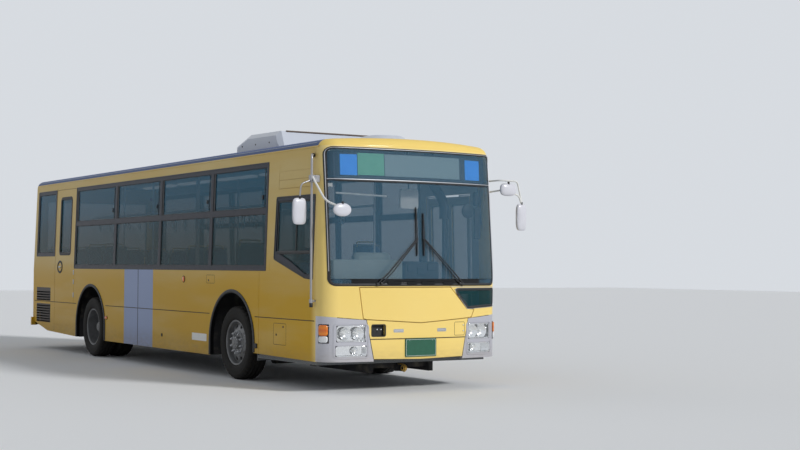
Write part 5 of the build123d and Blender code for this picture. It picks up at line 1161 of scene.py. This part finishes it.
# pivot Y and Z, joint Y and Z, lowest and highest Z of the blade
WIPERS = [(-0.59, 1.272, -0.06, 1.815, 1.61, 2.19), (0.62, 1.272, 0.04, 1.815, 1.61, 2.12)]
SECOND_CAP = [(-0.002, 0.016), (0.012, 0.015), (0.016, 0.010), (0.016, 0)]
ARM_GAP, ARM_RADII, CLAW_OVER = 0.045, (0.008, 0.006), (0.018, 0.030, 0.034, 0.030, 0.018)
wipers = Build()
blades = Build()
for pivot_y, pivot_z, blade_y, joint_z, low_z, high_z in WIPERS:
    wipers.turn(PIVOT_CAP, nose(pivot_y, pivot_z, 0.0), (1, 0, 0), 16)
    inward = copysign(ARM_GAP, -pivot_y)
    for shift, radius in zip((0.0, inward), ARM_RADII):
        foot = nose(pivot_y + shift, pivot_z + 0.01, 0.022)
        knee = nose((pivot_y * 3 + blade_y) / 4 + shift, (pivot_z * 3 + joint_z) / 4, 0.036)
        wipers.tube([foot, knee, nose(blade_y + shift * 0.4, joint_z, 0.034)], radius, 0.03, 8)
    wipers.turn(SECOND_CAP, nose(pivot_y + inward, pivot_z + 0.01, 0.02), (1, 0, 0), 12)
    spread = [low_z + (high_z - low_z) * k / 4 for k in range(5)]
    wipers.tube([nose(blade_y, z, over) for z, over in zip(spread, CLAW_OVER)], 0.006, 0.0, 8)
    for z in (spread[0] + 0.03, *spread[1:4], spread[4] - 0.03):
        wipers.tube([nose(blade_y, z, 0.010), nose(blade_y, z, 0.030)], 0.005, 0.0, 6)
    blades.rim(nose, [(blade_y, z) for z in spread], 0.013, 0.012, closed=False)
wipers = wipers.make("wiper_arms", plastic, slot="black_plastic")
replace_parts(wipers, "wipers")
blades.make("wiper_blades", rubber, slot="black_plastic")

# Tow hook: a forged steel hook painted gold, looped round the eye under the front bumper
# between two washers.
EYE_X, EYE_Z, HOOK_RADIUS = 5.16, 0.25, 0.036
WASHER = [(0, 0.034), (0.005, 0.036), (0.010, 0.032), (0.010, 0.021)]
gold = Finish("hook_gold", (0.62, 0.38, 0.08), 0.4, Metallic=0.4)
gold.mottle(24.0, (0.50, 0.29, 0.05), (0.72, 0.47, 0.12))
gold.grain(120.0, 0.3, 0.0012)
hook = Build()
loop = [(EYE_X + HOOK_RADIUS * sin(turn), 0.0, EYE_Z + HOOK_RADIUS * cos(turn)) for turn in turns_of(20)[:16]]
hook.tube([(5.02, 0.0, 0.285), (5.10, 0.0, 0.292), *loop], 0.0125, 0.0, 12)
for end in SIDES:
    hook.turn(WASHER, (EYE_X, end * 0.0155, EYE_Z), (0, end, 0), 28)
hook.make("tow_hook", gold, slot="chassis_black")

# Tyres: radial road tyres with four grooves, notched shoulders and moulded rings on their
# sides. They stand in for the plain bands of the frame.
WHEEL_Z = 0.479
TREAD_SIDES = 108
# distance from the middle, radius, depth of the notch
TREAD_HALF = [
    (0.105, 0.286, 0), (0.113, 0.292, 0), (0.119, 0.304, 0), (0.1255, 0.316, 0), (0.1285, 0.318, 0),
    (0.1300, 0.326, 0), (0.1330, 0.340, 0), (0.1365, 0.360, 0), (0.1380, 0.378, 0), (0.1372, 0.398, 0),
    (0.1350, 0.414, 0), (0.1362, 0.418, 0), (0.1362, 0.423, 0), (0.1340, 0.427, 0), (0.1300, 0.444, 0),
    (0.1270, 0.452, 0.004), (0.1160, 0.4665, 0.012), (0.1060, 0.4735, 0.013), (0.0850, 0.4760, 0.012),
    (0.0830, 0.4640, 0), (0.0730, 0.4640, 0), (0.0710, 0.4775, 0.003), (0.0360, 0.4788, 0.003),
    (0.0340, 0.4650, 0), (0.0240, 0.4650, 0), (0.0220, 0.4790, 0),
]
tyre_rubber = Finish("tyre_rubber", (0.012, 0.012, 0.012), 0.78, Specular_IOR_Level=0.2)
tyre_rubber.mottle(14.0, (0.008, 0.008, 0.008), (0.024, 0.022, 0.019), 5.0)
tyre_rubber.wear(0.62, 0.25, 14.0, 5.0)
tyre_rubber.grain(240.0, 0.25, 0.001)
TREAD = TREAD_HALF + [(-across, *rest) for across, *rest in reversed(TREAD_HALF)]
# body, name, the node it stands for, X of the axle, Y of each tyre's middle
WHEELS = [
    ("wheel_front_left", "front_left", "tyre_front_left", AXLES_X[0], [1.06]),
    ("wheel_front_right", "front_right", "tyre_front_right", AXLES_X[0], [-1.06]),
    ("wheels_rear_left", "rear_left", "tyres_rear_left", AXLES_X[1], [0.765, 1.075]),
    ("wheels_rear_right", "rear_right", "tyres_rear_right", AXLES_X[1], [-1.075, -0.765]),
]
for body, place, node, axle_x, middles in WHEELS:
    treads = Build()
    for middle in middles:
        rows = []
        for across, radius, notch in TREAD:
            reaches = [radius - (notch if k % 3 == 0 else 0) for k in range(TREAD_SIDES)]
            rows.append([(axle_x + reach * cos(turn), middle + across, WHEEL_Z + reach * sin(turn))
                         for turn, reach in zip(turns_of(TREAD_SIDES), reaches)])
        treads.rows(rows, closed=True)
    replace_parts(treads.make("treads_" + place, tyre_rubber, body, "tyre", 30), node)

# Rims and hubs: pressed steel wheels painted silver, with a rolled lip, ten wheel nuts on a
# ring, a valve and a capped hub. The rear hubs stand deep inside their outer wheels.
NUTS, NUT_CIRCLE, CAP_CIRCLE = 10, 0.138, 0.068
FRONT_FACES_Y, REAR_FACES_Y = (1.146, 1.186), (0.936, 1.095)
# (distance out, radius) points of each turned part
HUB_RING = [(0, 0.118), (0.007, 0.120), (0.009, 0.124), (0.009, 0.152), (0.007, 0.156), (0, 0.158)]
RIM_LIP = [(-0.004, 0.284), (0.001, 0.293), (0.006, 0.294), (0.008, 0.289), (0.004, 0.278), (-0.010, 0.272)]
HUB_CAP = [(0, 0.078), (0.004, 0.076), (0.016, 0.062), (0.020, 0.058), (0.020, 0.030), (0.026, 0.026),
           (0.027, 0)]
NUT = [(0, 0.021), (0.004, 0.021), (0.005, 0.018), (0.026, 0.018), (0.029, 0.015)]
STUD = [(0, 0.010), (0.040, 0.010), (0.042, 0.008), (0.042, 0)]
CAP_BOLT = [(0, 0.007), (0.006, 0.007), (0.008, 0.005), (0.008, 0)]
rim_paint = Finish("rim_paint", (0.20, 0.20, 0.21), 0.42, Metallic=0.3)
rim_paint.mottle(9.0, (0.10, 0.098, 0.095), (0.27, 0.275, 0.285), 5.0)
rim_paint.wear(0.34, 0.25, 9.0, 5.0)
rim_paint.grain(150.0, 0.15, 0.001)
dress(["rim_front_left", "rim_front_right", "rims_rear_left", "rims_rear_right"], rim_paint)
for body, place, node, axle_x, middles in WHEELS:
    side = copysign(1, middles[0])
    outer = max(middles, key=abs)
    face_y, cap_y = (side * y for y in (FRONT_FACES_Y if len(middles) == 1 else REAR_FACES_Y))
    outward = (0, side, 0)
    fittings = Build()
    fittings.turn(HUB_RING, (axle_x, face_y, WHEEL_Z), outward, 48)
    fittings.turn(RIM_LIP, (axle_x, outer + side * 0.111, WHEEL_Z), outward, 64)
    fittings.turn(HUB_CAP, (axle_x, cap_y, WHEEL_Z), outward, 40)
    nuts = Build()
    for k in range(NUTS):
        turn, bolt = 2 * pi * (k + 0.5) / NUTS, 2 * pi * k / NUTS
        spot = (axle_x + NUT_CIRCLE * cos(turn), face_y + side * 0.006, WHEEL_Z + NUT_CIRCLE * sin(turn))
        nuts.turn(NUT, spot, outward, 6)
        nuts.turn(STUD, spot, outward, 10)
        spot = (axle_x + CAP_CIRCLE * cos(bolt), cap_y + side * 0.002, WHEEL_Z + CAP_CIRCLE * sin(bolt))
        nuts.turn(CAP_BOLT, spot, outward, 6)
    valve_foot = (axle_x + 0.215, outer + side * 0.04, WHEEL_Z + 0.10)
    nuts.tube([valve_foot, (axle_x + 0.232, outer + side * 0.105, WHEEL_Z + 0.108)], 0.006, 0, 8)
    fittings.make("hub_" + place, rim_paint, body, "rim_paint")
    nuts.make("wheel_nuts_" + place, satin_steel, body, "rim_paint")

# Door trim: rubber round each door's pane and down its edges, with a grip on the middle door
# and yellow nosings on both sills and on the steps of the floor.
FRONT_LEAVES = [("rear", "leaf_rear", (3.894, 4.362)), ("front", "leaf_front", (4.378, 4.846))]
LEAF_INSET, LEAF_Z, PANE_Z = 0.010, (0.386, 2.394), (0.76, 2.29)
SLIDE_INSET, SLIDE_PANE_X, GRIP = 0.058, (-0.774, 0.114), ((-0.815, -0.785), (1.02, 1.20))
# X, Y and Z spans of each nosing
NOSINGS = [
    ((3.85, 4.89), (1.205, 1.238), (0.356, 0.3645)),
    ((-0.82, 0.16), (1.150, 1.185), (0.356, 0.3645)),
    ((-1.632, -1.600), (-0.6, 0.6), (0.5785, 0.5845)),
    ((-1.862, -1.830), (-0.6, 0.6), (0.7985, 0.8045)),
]
for name, body, x in FRONT_LEAVES:
    edging = Build()
    leaf = flank(LEFT, LEAF_INSET)
    edging.rim(leaf, panel(within(x, 0.056), PANE_Z, 0.05, 0.5), 0.026, 0.008, sink=0.002)
    low_z, high_z = within(LEAF_Z, 0.01)
    for edge_x in within(x, 0.004):
        edge = [(edge_x, z) for z in (low_z, WAIST_Z, high_z)]
        edging.rim(leaf, edge, 0.012, 0.007, sink=0.010, closed=False)
    edging.make("door_edging_" + name, rubber, body, "black_plastic")
middle_edging = Build()
slide = flank(LEFT, SLIDE_INSET)
middle_edging.rim(slide, panel(SLIDE_PANE_X, PANE_Z, 0.06, 0.5), 0.030, 0.004, sink=0.002)
middle_edging.plate(slide, panel(*GRIP, 0.012), 0.004)
middle_edging.make("door_edging_middle", rubber, "door_middle", "black_plastic")
nosings = Build()
for x, y, z in NOSINGS:
    nosings.block(x, y, z, 0.002)
signal_yellow = Finish("signal_yellow", (0.80, 0.50, 0.03), 0.4)
signal_yellow.mottle(12.0, (0.74, 0.44, 0.02), (0.84, 0.55, 0.05))
signal_yellow.grain(200.0, 0.1, 0.0005)
nosings.make("sill_nosings", signal_yellow, slot="body_paint")

# Cabin lining: pale moulded panels below the windows and along the ceiling, with two rows of
# lamp covers over the seats.
LINING_INSET, LINING_TOP_Z, REAR_LINING_Z = 0.056, 1.40, 1.16
# side, height of its foot ahead of the raised floor, X spans of its panels
LININGS = [
    (RIGHT, 0.62, [(-5.25, -4.22), (-3.15, -1.95), (-1.60, -0.60), (-0.59, 0.80), (0.81, 2.20), (3.62, 4.9)]),
    (LEFT, 0.42, [(-5.25, -1.95), (-1.60, -0.95), (1.22, 2.20), (3.62, 3.80)]),
]
CEILING_Z, CEILING_START_X, CEILING_PITCH, CEILING_GAP = 2.944, -5.2, 1.27, 0.012
CEILING_BAYS, CEILING_Y = 8, ((-1.02, -0.52), (-0.50, 0.50), (0.52, 1.02))
LAMP_BAYS, LAMP_START_X, LAMP_PITCH, LAMP_LENGTH, LAMP_Y, LAMP_HALF = 6, -4.9, 1.6, 1.35, 0.70, 0.06


def ceiling(drop=0.0):
    """The ceiling under the roof's crown, or a surface a little below it, seen from below."""
    crown = 2 * ROOF_CROWN_RADIUS
    return lambda x, y, over=0.0: Vector((x, y, CEILING_Z - y * y / crown - over - drop))


lining = Finish("cabin_lining", (0.62, 0.64, 0.62), 0.55)
lining.mottle(3.0, (0.56, 0.585, 0.565), (0.66, 0.68, 0.66))
lining.grain(420.0, 0.1, 0.0006, 2.0)
linings = Build()
for side, foot_z, spans in LININGS:
    for x in spans:
        z = (REAR_LINING_Z if x[0] < REAR_FLOOR_X else foot_z, LINING_TOP_Z)
        linings.plate(flank(side, LINING_INSET), panel(x, z, 0.02, 1.0), 0.003)
for k in range(CEILING_BAYS):
    start = CEILING_START_X + CEILING_PITCH * k
    for y in CEILING_Y:
        linings.plate(ceiling(), panel((start, start + CEILING_PITCH - CEILING_GAP), y, 0.02, 0.3), 0.010)
linings.make("cabin_linings", lining, slot="cover_paint")
lamp_white = Finish("cabin_lamp_cover", (0.88, 0.89, 0.88), 0.4, Emission_Strength=0.25)
lamp_white.set("Emission Color", lamp_white.noise(5.0).mix((0.90, 0.93, 0.95), (1.0, 1.0, 0.98)))
lamp_covers = Build()
for side, k in product(SIDES, range(LAMP_BAYS)):
    start = LAMP_START_X + LAMP_PITCH * k
    cover = panel((start, start + LAMP_LENGTH), about(side * LAMP_Y, LAMP_HALF), 0.03, 0.4)
    lamp_covers.plate(ceiling(0.010), cover, 0.030, ease=0.010, crown=0.008)
lamp_covers.make("cabin_lamp_covers", lamp_white, slot="cover_paint")

# Hand straps: white webbing loops with moulded rings, slipped over the rails along both
# sides of the aisle.
STRAPS, STRAP_START_X, STRAP_PITCH, STRAP_Y, STRAP_Z = 15, -3.7, 0.45, 0.6, (2.16, 2.31)
STRAP_THICK, RING_Z, RING_RADIUS = 0.003, 2.115, 0.045
straps = Build()
rings = Build()
for side, k in product(SIDES, range(STRAPS)):
    x, y = STRAP_START_X + STRAP_PITCH * k, side * STRAP_Y
    for start in (y - 0.021, y + 0.018):
        straps.block(about(x, 0.012), (start, start + STRAP_THICK), STRAP_Z, 0.001)
    straps.block(about(x, 0.014), about(y, 0.022), (2.315, 2.320), 0.001)
    ring = [(x + RING_RADIUS * cos(turn), y, RING_Z + RING_RADIUS * sin(turn)) for turn in turns_of(16)]
    rings.tube([*ring, ring[0]], 0.007, 0, 8)
webbing = Finish("strap_webbing", (0.62, 0.62, 0.58), 0.85)
webbing.mottle(60.0, (0.54, 0.54, 0.50), (0.70, 0.70, 0.66))
webbing.bump(webbing.axes()[2].fold(0.003) * 300, 0.4, 0.0005)
straps.make("hand_straps", webbing, slot="seat_cloth")
rings.make("strap_rings", white_plate, slot="cover_paint")

# Seats: grey moulded shells on painted pedestals, each with a padded cushion and back in blue
# moquette and a grab handle over its back. They stand in for the plain seats of the frame.
SHELL_HALF, SHELL_STEPS, SHELL_CURL, BACK_FROM_Z = 0.218, 7, 0.022, 0.1
# height that a seat's shell starts at, height that the seat stands on
ON_FLOOR, ON_REAR_FLOOR, ON_PLATFORM = (0.70, 0.36), (1.14, 0.80), (0.94, 0.60)
ON_BENCH, ON_WHEEL_BOX = (1.15, 1.15), (1.175, 1.175)
# X of the back, Y of the middle, heights, sides it stands on
SEAT_ROWS = [
    (3.96, 0.64, ON_PLATFORM, (RIGHT,)), (-4.85, 0.0, ON_BENCH, (LEFT,)),
    (2.80, 0.90, ON_WHEEL_BOX, SIDES), (1.50, 0.94, ON_FLOOR, SIDES), (0.70, 0.94, ON_FLOOR, (RIGHT,)),
    (-0.10, 0.94, ON_FLOOR, (RIGHT,)), (-0.90, 0.94, ON_FLOOR, (RIGHT,)), (-2.20, 0.90, ON_WHEEL_BOX, SIDES),
    (-2.95, 0.90, ON_WHEEL_BOX, SIDES), (-3.75, 0.94, ON_REAR_FLOOR, (LEFT,)),
    (-3.75, 0.48, ON_REAR_FLOOR, (LEFT,)), (-4.85, 0.92, ON_BENCH, SIDES), (-4.85, 0.46, ON_BENCH, SIDES),
]
SEATS = [(x, side * y, *heights) for x, y, heights, sides in SEAT_ROWS for side in sides]
# name, place of its middle from the seat's, half sizes along, across and up, tilt in radians
CUSHIONS = [
    ("seat_pad", (0.225, 0.056), (0.205, 0.200, 0.050), 0.03),
    ("back_pad", (0.012, 0.345), (0.042, 0.200, 0.250), -0.10),
]
HEAD_REST = ((3.935, -0.64, 1.63), (0.040, 0.120, 0.085), -0.10)
# X and Z of the shell along its middle, from its front edge to the top of its back
SHELL_LINE = [
    (0.43, 0.035), (0.425, 0.012), (0.38, 0.004), (0.20, 0.004), (0.06, 0.012), (-0.01, 0.05),
    (-0.035, 0.14), (-0.045, 0.32), (-0.052, 0.52), (-0.050, 0.60), (-0.036, 0.615),
]
moquette = Finish("moquette", (0.05, 0.09, 0.20), 0.9, Sheen_Weight=0.3)
fleck = (moquette.noise(220.0, 1.0) > 0.62) * 0.5
stripe = moquette.noise(26.0, 2.0).soft(0.4, 0.6)
woven = stripe.mix((0.035, 0.075, 0.19), (0.06, 0.12, 0.27))
moquette.set("Base Color", fleck.mix(woven, (0.30, 0.38, 0.50)))
sewn = abs(moquette.axes()[0].fold(0.05)) * 8
moquette.bump(moquette.noise(900.0, 2.0) + sewn, 0.5, 0.001)
grey_shell = Finish("seat_shell", (0.30, 0.31, 0.32), 0.5)
grey_shell.wear(0.42, 0.2, 50.0)
grey_shell.grain(600.0, 0.15, 0.0005, 2.0)


def pad(centre, half, lean_back):
    """A crowned cushion about a centre, its half sizes along its own depth, width and height."""
    cushion = Build()
    tilt = Matrix.Translation(centre) @ Matrix.Rotation(lean_back, 4, "Y")
    rows = []
    for i in range(13):
        rise = -pi / 2 + pi * i / 12
        level, reach = copysign(abs(sin(rise)) ** 0.6, rise), abs(cos(rise)) ** 0.28
        row = []
        for turn in turns_of(28):
            u, v = (copysign(abs(part) ** 0.32, part) for part in (cos(turn), sin(turn)))
            pulled = reach * (1 - 0.03 * (1 - abs(sin(2 * turn))))
            row.append(tilt @ Vector((half[0] * u * pulled, half[1] * v * pulled, half[2] * level)))
        rows.append(row)
    cushion.rows(rows, closed=True)
    return cushion


def seat_shell(shells, seat_x, seat_y, base_z):
    """One bent shell, its edges curled up at the sides of the seat and forward at the back's."""
    rows = []
    for k in range(-SHELL_STEPS, SHELL_STEPS + 1):
        across = k / SHELL_STEPS
        curl, y = SHELL_CURL * across**6, seat_y + SHELL_HALF * across
        upper = [(seat_x + x + curl, y, base_z + z) if z > BACK_FROM_Z else (seat_x + x, y, base_z + z + curl)
                 for x, z in SHELL_LINE]
        lower = [(x - 0.010, y, z - (0 if z - base_z > BACK_FROM_Z else 0.004))
                 for x, y, z in reversed(upper)]
        rows.append(upper + lower)
    shells.rows(rows, closed=True, caps=True)


shells = Build()
handles = Build()
for number, (seat_x, seat_y, base_z, foot_z) in enumerate(SEATS):
    for name, (along, rise), half, tilt in CUSHIONS:
        cushion = pad((seat_x + along, seat_y, base_z + rise), half, tilt)
        cushion = cushion.make(f"{name}_{number:02d}", moquette, slot="seat_cloth", sharp=60)
        if number == 0 and name == "seat_pad":
            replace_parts(cushion, "seats")
    seat_shell(shells, seat_x, seat_y, base_z)
    if base_z > foot_z:
        post_x = about(seat_x + 0.20, 0.05)
        shells.block(post_x, about(seat_y, 0.08), (foot_z + 0.012, base_z + 0.004), 0.010)
        shells.block(within(post_x, -0.07), about(seat_y, 0.15), (foot_z, foot_z + 0.012), 0.004)
    if number > 1:
        low_x, high_x, low_z, high_z = seat_x - 0.045, seat_x - 0.060, base_z + 0.57, base_z + 0.648
        y0, y1 = about(seat_y, 0.15)
        handles.tube([(low_x, y0, low_z), (high_x, y0, high_z), (high_x, y1, high_z), (low_x, y1, low_z)],
                     0.011, 0.03, 10)
shells.make("seat_shells", grey_shell, slot="seat_cloth")
handles.make("seat_handles", signal_yellow, slot="pole_steel")
rest = pad(*HEAD_REST).make("driver_head_rest", moquette, slot="seat_cloth", sharp=60)
stays = Build()
for y in about(HEAD_REST[0][1], 0.06):
    stays.tube([(3.925, y, 1.50), (3.930, y, 1.60)], 0.007, 0, 8)
stays.make("head_rest_stays", satin_steel, slot="pole_steel")

# Driver's place: a pale green-grey shelf under the windscreen with a hooded instrument panel,
# rocker switches, a black box with three covers, and a fare machine beside the door.
SWITCHES, SWITCH_PITCH, SWITCH_START_Y = 8, 0.06, -0.27
# X, Y and Z spans of each block, how far its edges are eased
SHELF = [
    ((5.02, 5.30), (-1.06, 1.00), (1.150, 1.240), 0.012),
    ((5.06, 5.30), (-1.08, -0.11), (1.200, 1.565), 0.016),
    ((4.94, 5.08), (-1.06, 0.52), (1.060, 1.360), 0.020),
    ((4.96, 5.12), (-0.66, -0.15), (1.340, 1.650), 0.045),
]
FARE_BODY = [
    ((4.45, 4.78), (-0.10, 0.20), (0.36, 1.22), 0.020),
    ((4.48, 4.75), (-0.08, 0.18), (1.21, 1.36), 0.030),
]
FARE_PANELS = [
    ((4.50, 4.66), (0.176, 0.186), (1.24, 1.33), 0.004),
    ((4.50, 4.70), (0.196, 0.206), (0.95, 1.15), 0.006),
    ((4.474, 4.482), (-0.03, 0.13), (1.24, 1.33), 0.003),
]
DIALS_PLACE = (4.948, -0.64, 1.250)
DIAL = [(0, 0.072), (0.010, 0.070), (0.010, 0.064), (0.004, 0.062), (0.004, 0)]
SHELF_BOX = ((5.10, 5.27), (-0.07, 0.44), (1.240, 1.545))
# Y and Z of the middle of each cover on the front of the box
COVERS_X, COVERS = (5.265, 5.285), [(0.02, 1.47), (0.16, 1.43), (0.31, 1.48)]


def blocks(spans):
    """A piece of several blocks, each from its three spans and its ease."""
    piece = Build()
    for x, y, z, ease in spans:
        piece.block(x, y, z, ease)
    return piece


shelf_finish = Finish("dash_shelf", (0.36, 0.41, 0.37), 0.6)
shelf_finish.mottle(4.0, (0.31, 0.36, 0.325), (0.41, 0.46, 0.42))
shelf_finish.grain(500.0, 0.15, 0.0006, 2.0)
blocks(SHELF).make("dash_shelf", shelf_finish, slot="black_plastic")
dials = Build()
dial_face = upright(DIALS_PLACE, -1)
dials.plate(dial_face, panel((-0.27, 0.27), (-0.055, 0.085), 0.05, 0.05), 0.010)
for y in (-0.15, 0.15):
    dials.turn(DIAL, dial_face(y, 0.012, 0.008), (-1, 0, 0), 28)
for k in range(SWITCHES):
    start = SWITCH_START_Y + SWITCH_PITCH * k
    dials.block((4.930, 4.944), (start, start + 0.035), (1.095, 1.135), 0.004)
dials.block(*SHELF_BOX, 0.020)
for y, z in COVERS:
    dials.block(COVERS_X, about(y, 0.05), about(z, 0.045), 0.006)
dials.make("dash_instruments", plastic, slot="black_plastic")
blocks(FARE_BODY).make("fare_machine", lining, slot="cover_paint")
blocks(FARE_PANELS).make("fare_machine_panels", gloss_black, slot="black_plastic")

# Driver's screen and cab fittings: a framed clear screen behind the seat, a bent duct by the
# door, and the three inside mirrors with their stalks.
CAB_X, CAB_Y, CAB_Z, CAB_RAILS_Z = 3.70, (-1.14, -0.45), (0.60, 2.20), (0.72, 1.25, 2.20)
DUCT = [(4.93, 0.50, 2.90), (4.93, 0.55, 2.52), (5.02, 0.675, 2.30), (5.02, 0.675, 2.08)]
STICKER, STICKER_DEPTH = (-1.135, 2.432), 0.0085
# Y and Z of an inside mirror's head, Y of its stalk
STALKS = [(0.86, 2.20, 1.06), (1.02, 2.00, 1.09)]
cab_frame = Build()
for y in CAB_Y:
    cab_frame.tube([(CAB_X, y, z) for z in CAB_Z], 0.014)
for z in CAB_RAILS_Z:
    cab_frame.tube([(CAB_X, y, z) for y in CAB_Y], 0.012)
cab_frame.make("cab_frame", steel, slot="pole_steel")
cab_panel = Build()
cab_panel.block(about(CAB_X, 0.006), within(CAB_Y, 0.01), (0.62, 1.25), 0.003)
cab_panel.make("cab_panel", lining, slot="cover_paint")
cab_glass = Build()
cab_glass.block(about(CAB_X, 0.003), within(CAB_Y, 0.01), (1.262, 2.19), 0.001)
cab_glass.make("cab_glass", clear_lens, slot="screen_glass")
duct = Build()
duct.tube(DUCT, 0.060, 0.10, 20)
duct.tube([(5.02, 0.675, 2.09), (5.02, 0.675, 1.22)], 0.026, 0, 14)
for y, z, arm_y in STALKS:
    duct.tube([(5.20, arm_y, 2.45), (5.24, arm_y, z), (5.26, y, z)], 0.008, 0.04)
duct.tube([(5.16, 0.03, 2.90), (5.20, 0.03, 2.42)], 0.010)
duct.block((5.17, 5.22), (1.00, 1.07), (2.25, 2.42), 0.012)
duct.plate(upright((5.27, 0.86, 2.175)), oval((0, 0), 0.085, 0.085), 0.010, sink=0.012, crown=0.012)
long_back = panel((-0.045, 0.045), (-0.19, 0.19), 0.02, 0.1)
duct.plate(upright((5.25, 1.02, 2.02)), long_back, 0.010, sink=0.012, crown=0.006)
duct.make("cab_duct_and_mirror_backs", plastic, slot="black_plastic")
inside_mirror = Build()
wide_back = panel((-0.13, 0.13), (-0.12, 0.12), 0.035, 0.1)
inside_mirror.plate(upright((5.20, 0.035, 2.305)), wide_back, 0.012, sink=0.014, crown=0.008)
inside_mirror.tube([(5.25, -1.02, 2.345), (5.25, -0.32, 2.325)], 0.012, 0, 12)
sticker = lambda u, v, over=0.0: nose(STICKER[0] + u, STICKER[1] + v, over - STICKER_DEPTH)
inside_mirror.plate(sticker, panel(about(0, 0.024), about(0, 0.024), 0.004), 0.001)
inside_mirror.make("inside_mirror", white_plate, slot="mirror_shell")

# Exhaust: a steel pipe from the engine out under the right end of the rear bumper, hung
# from the rail by two strips.
PIPE_END = (-5.56, -0.62, 0.365)
TAILPIPE = [(-0.15, 0.044), (-0.13, 0.050), (0.0, 0.050), (0.0, 0.044), (-0.10, 0.042)]
HANGERS = [(-5.15, 0.42), (-5.36, 0.39)]
exhaust = Build()
exhaust.tube([(-4.70, -0.30, 0.52), (-4.90, -0.56, 0.45), (-5.30, -0.62, 0.40), PIPE_END], 0.045, 0.10, 20)
exhaust.turn(TAILPIPE, PIPE_END, (-0.99, 0, -0.13), 24)
for x, z in HANGERS:
    exhaust.block(about(x, 0.012), (-0.632, -0.452), (z + 0.035, z + 0.05), 0.003)
    exhaust.block(about(x, 0.012), (-0.456, -0.444), (z + 0.035, 0.64), 0.003)
exhaust.make("exhaust_pipe", iron, slot="engine_iron")

# Radiators: finned cores in black frames, one behind the side louvres and one behind the
# left louvres of the rear, each on two feet bolted to a rail.
FINS, SIDE_FIN_PITCH, REAR_FIN_PITCH = 20, 0.0295, 0.025
SIDE_CORE_X, REAR_CORE_Y = (-5.15, -4.40), (0.26, 0.90)
# X, Y and Z spans of each bar, how far its edges are eased: uprights, levels, web, feet
SIDE_RADIATOR = [
    *[(x, (-1.165, -1.105), (0.50, 1.10), 0.004) for x in ((-5.18, -5.15), (-4.40, -4.37))],
    *[((-5.18, -4.37), (-1.168, -1.102), z, 0.006) for z in ((0.46, 0.50), (0.77, 0.80), (1.09, 1.13))],
    (SIDE_CORE_X, (-1.140, -1.130), (0.50, 1.09), 0.002),
    *[((x, x + 0.03), (-1.110, -0.44), (0.640, 0.660), 0.003) for x in (-5.00, -4.56)],
]
REAR_RADIATOR = [
    *[((-5.375, -5.305), y, (0.62, 1.20), 0.004) for y in ((0.22, 0.26), (0.90, 0.94))],
    *[((-5.380, -5.300), (0.22, 0.94), z, 0.010) for z in ((0.60, 0.66), (1.16, 1.22))],
    ((-5.345, -5.335), REAR_CORE_Y, (0.66, 1.16), 0.002),
    *[((-5.38, -5.24), (y, y + 0.03), (0.585, 0.602), 0.003) for y in (0.30, 0.42)],
]
radiator = blocks(SIDE_RADIATOR + REAR_RADIATOR)
for k in range(FINS):
    side_z, rear_z = 0.505 + SIDE_FIN_PITCH * k, 0.664 + REAR_FIN_PITCH * k
    radiator.block(SIDE_CORE_X, (-1.155, -1.115), (side_z, side_z + 0.020), 0.002)
    radiator.block((-5.360, -5.320), REAR_CORE_Y, (rear_z, rear_z + 0.018), 0.002)
radiator.make("radiator", chassis, slot="engine_iron")
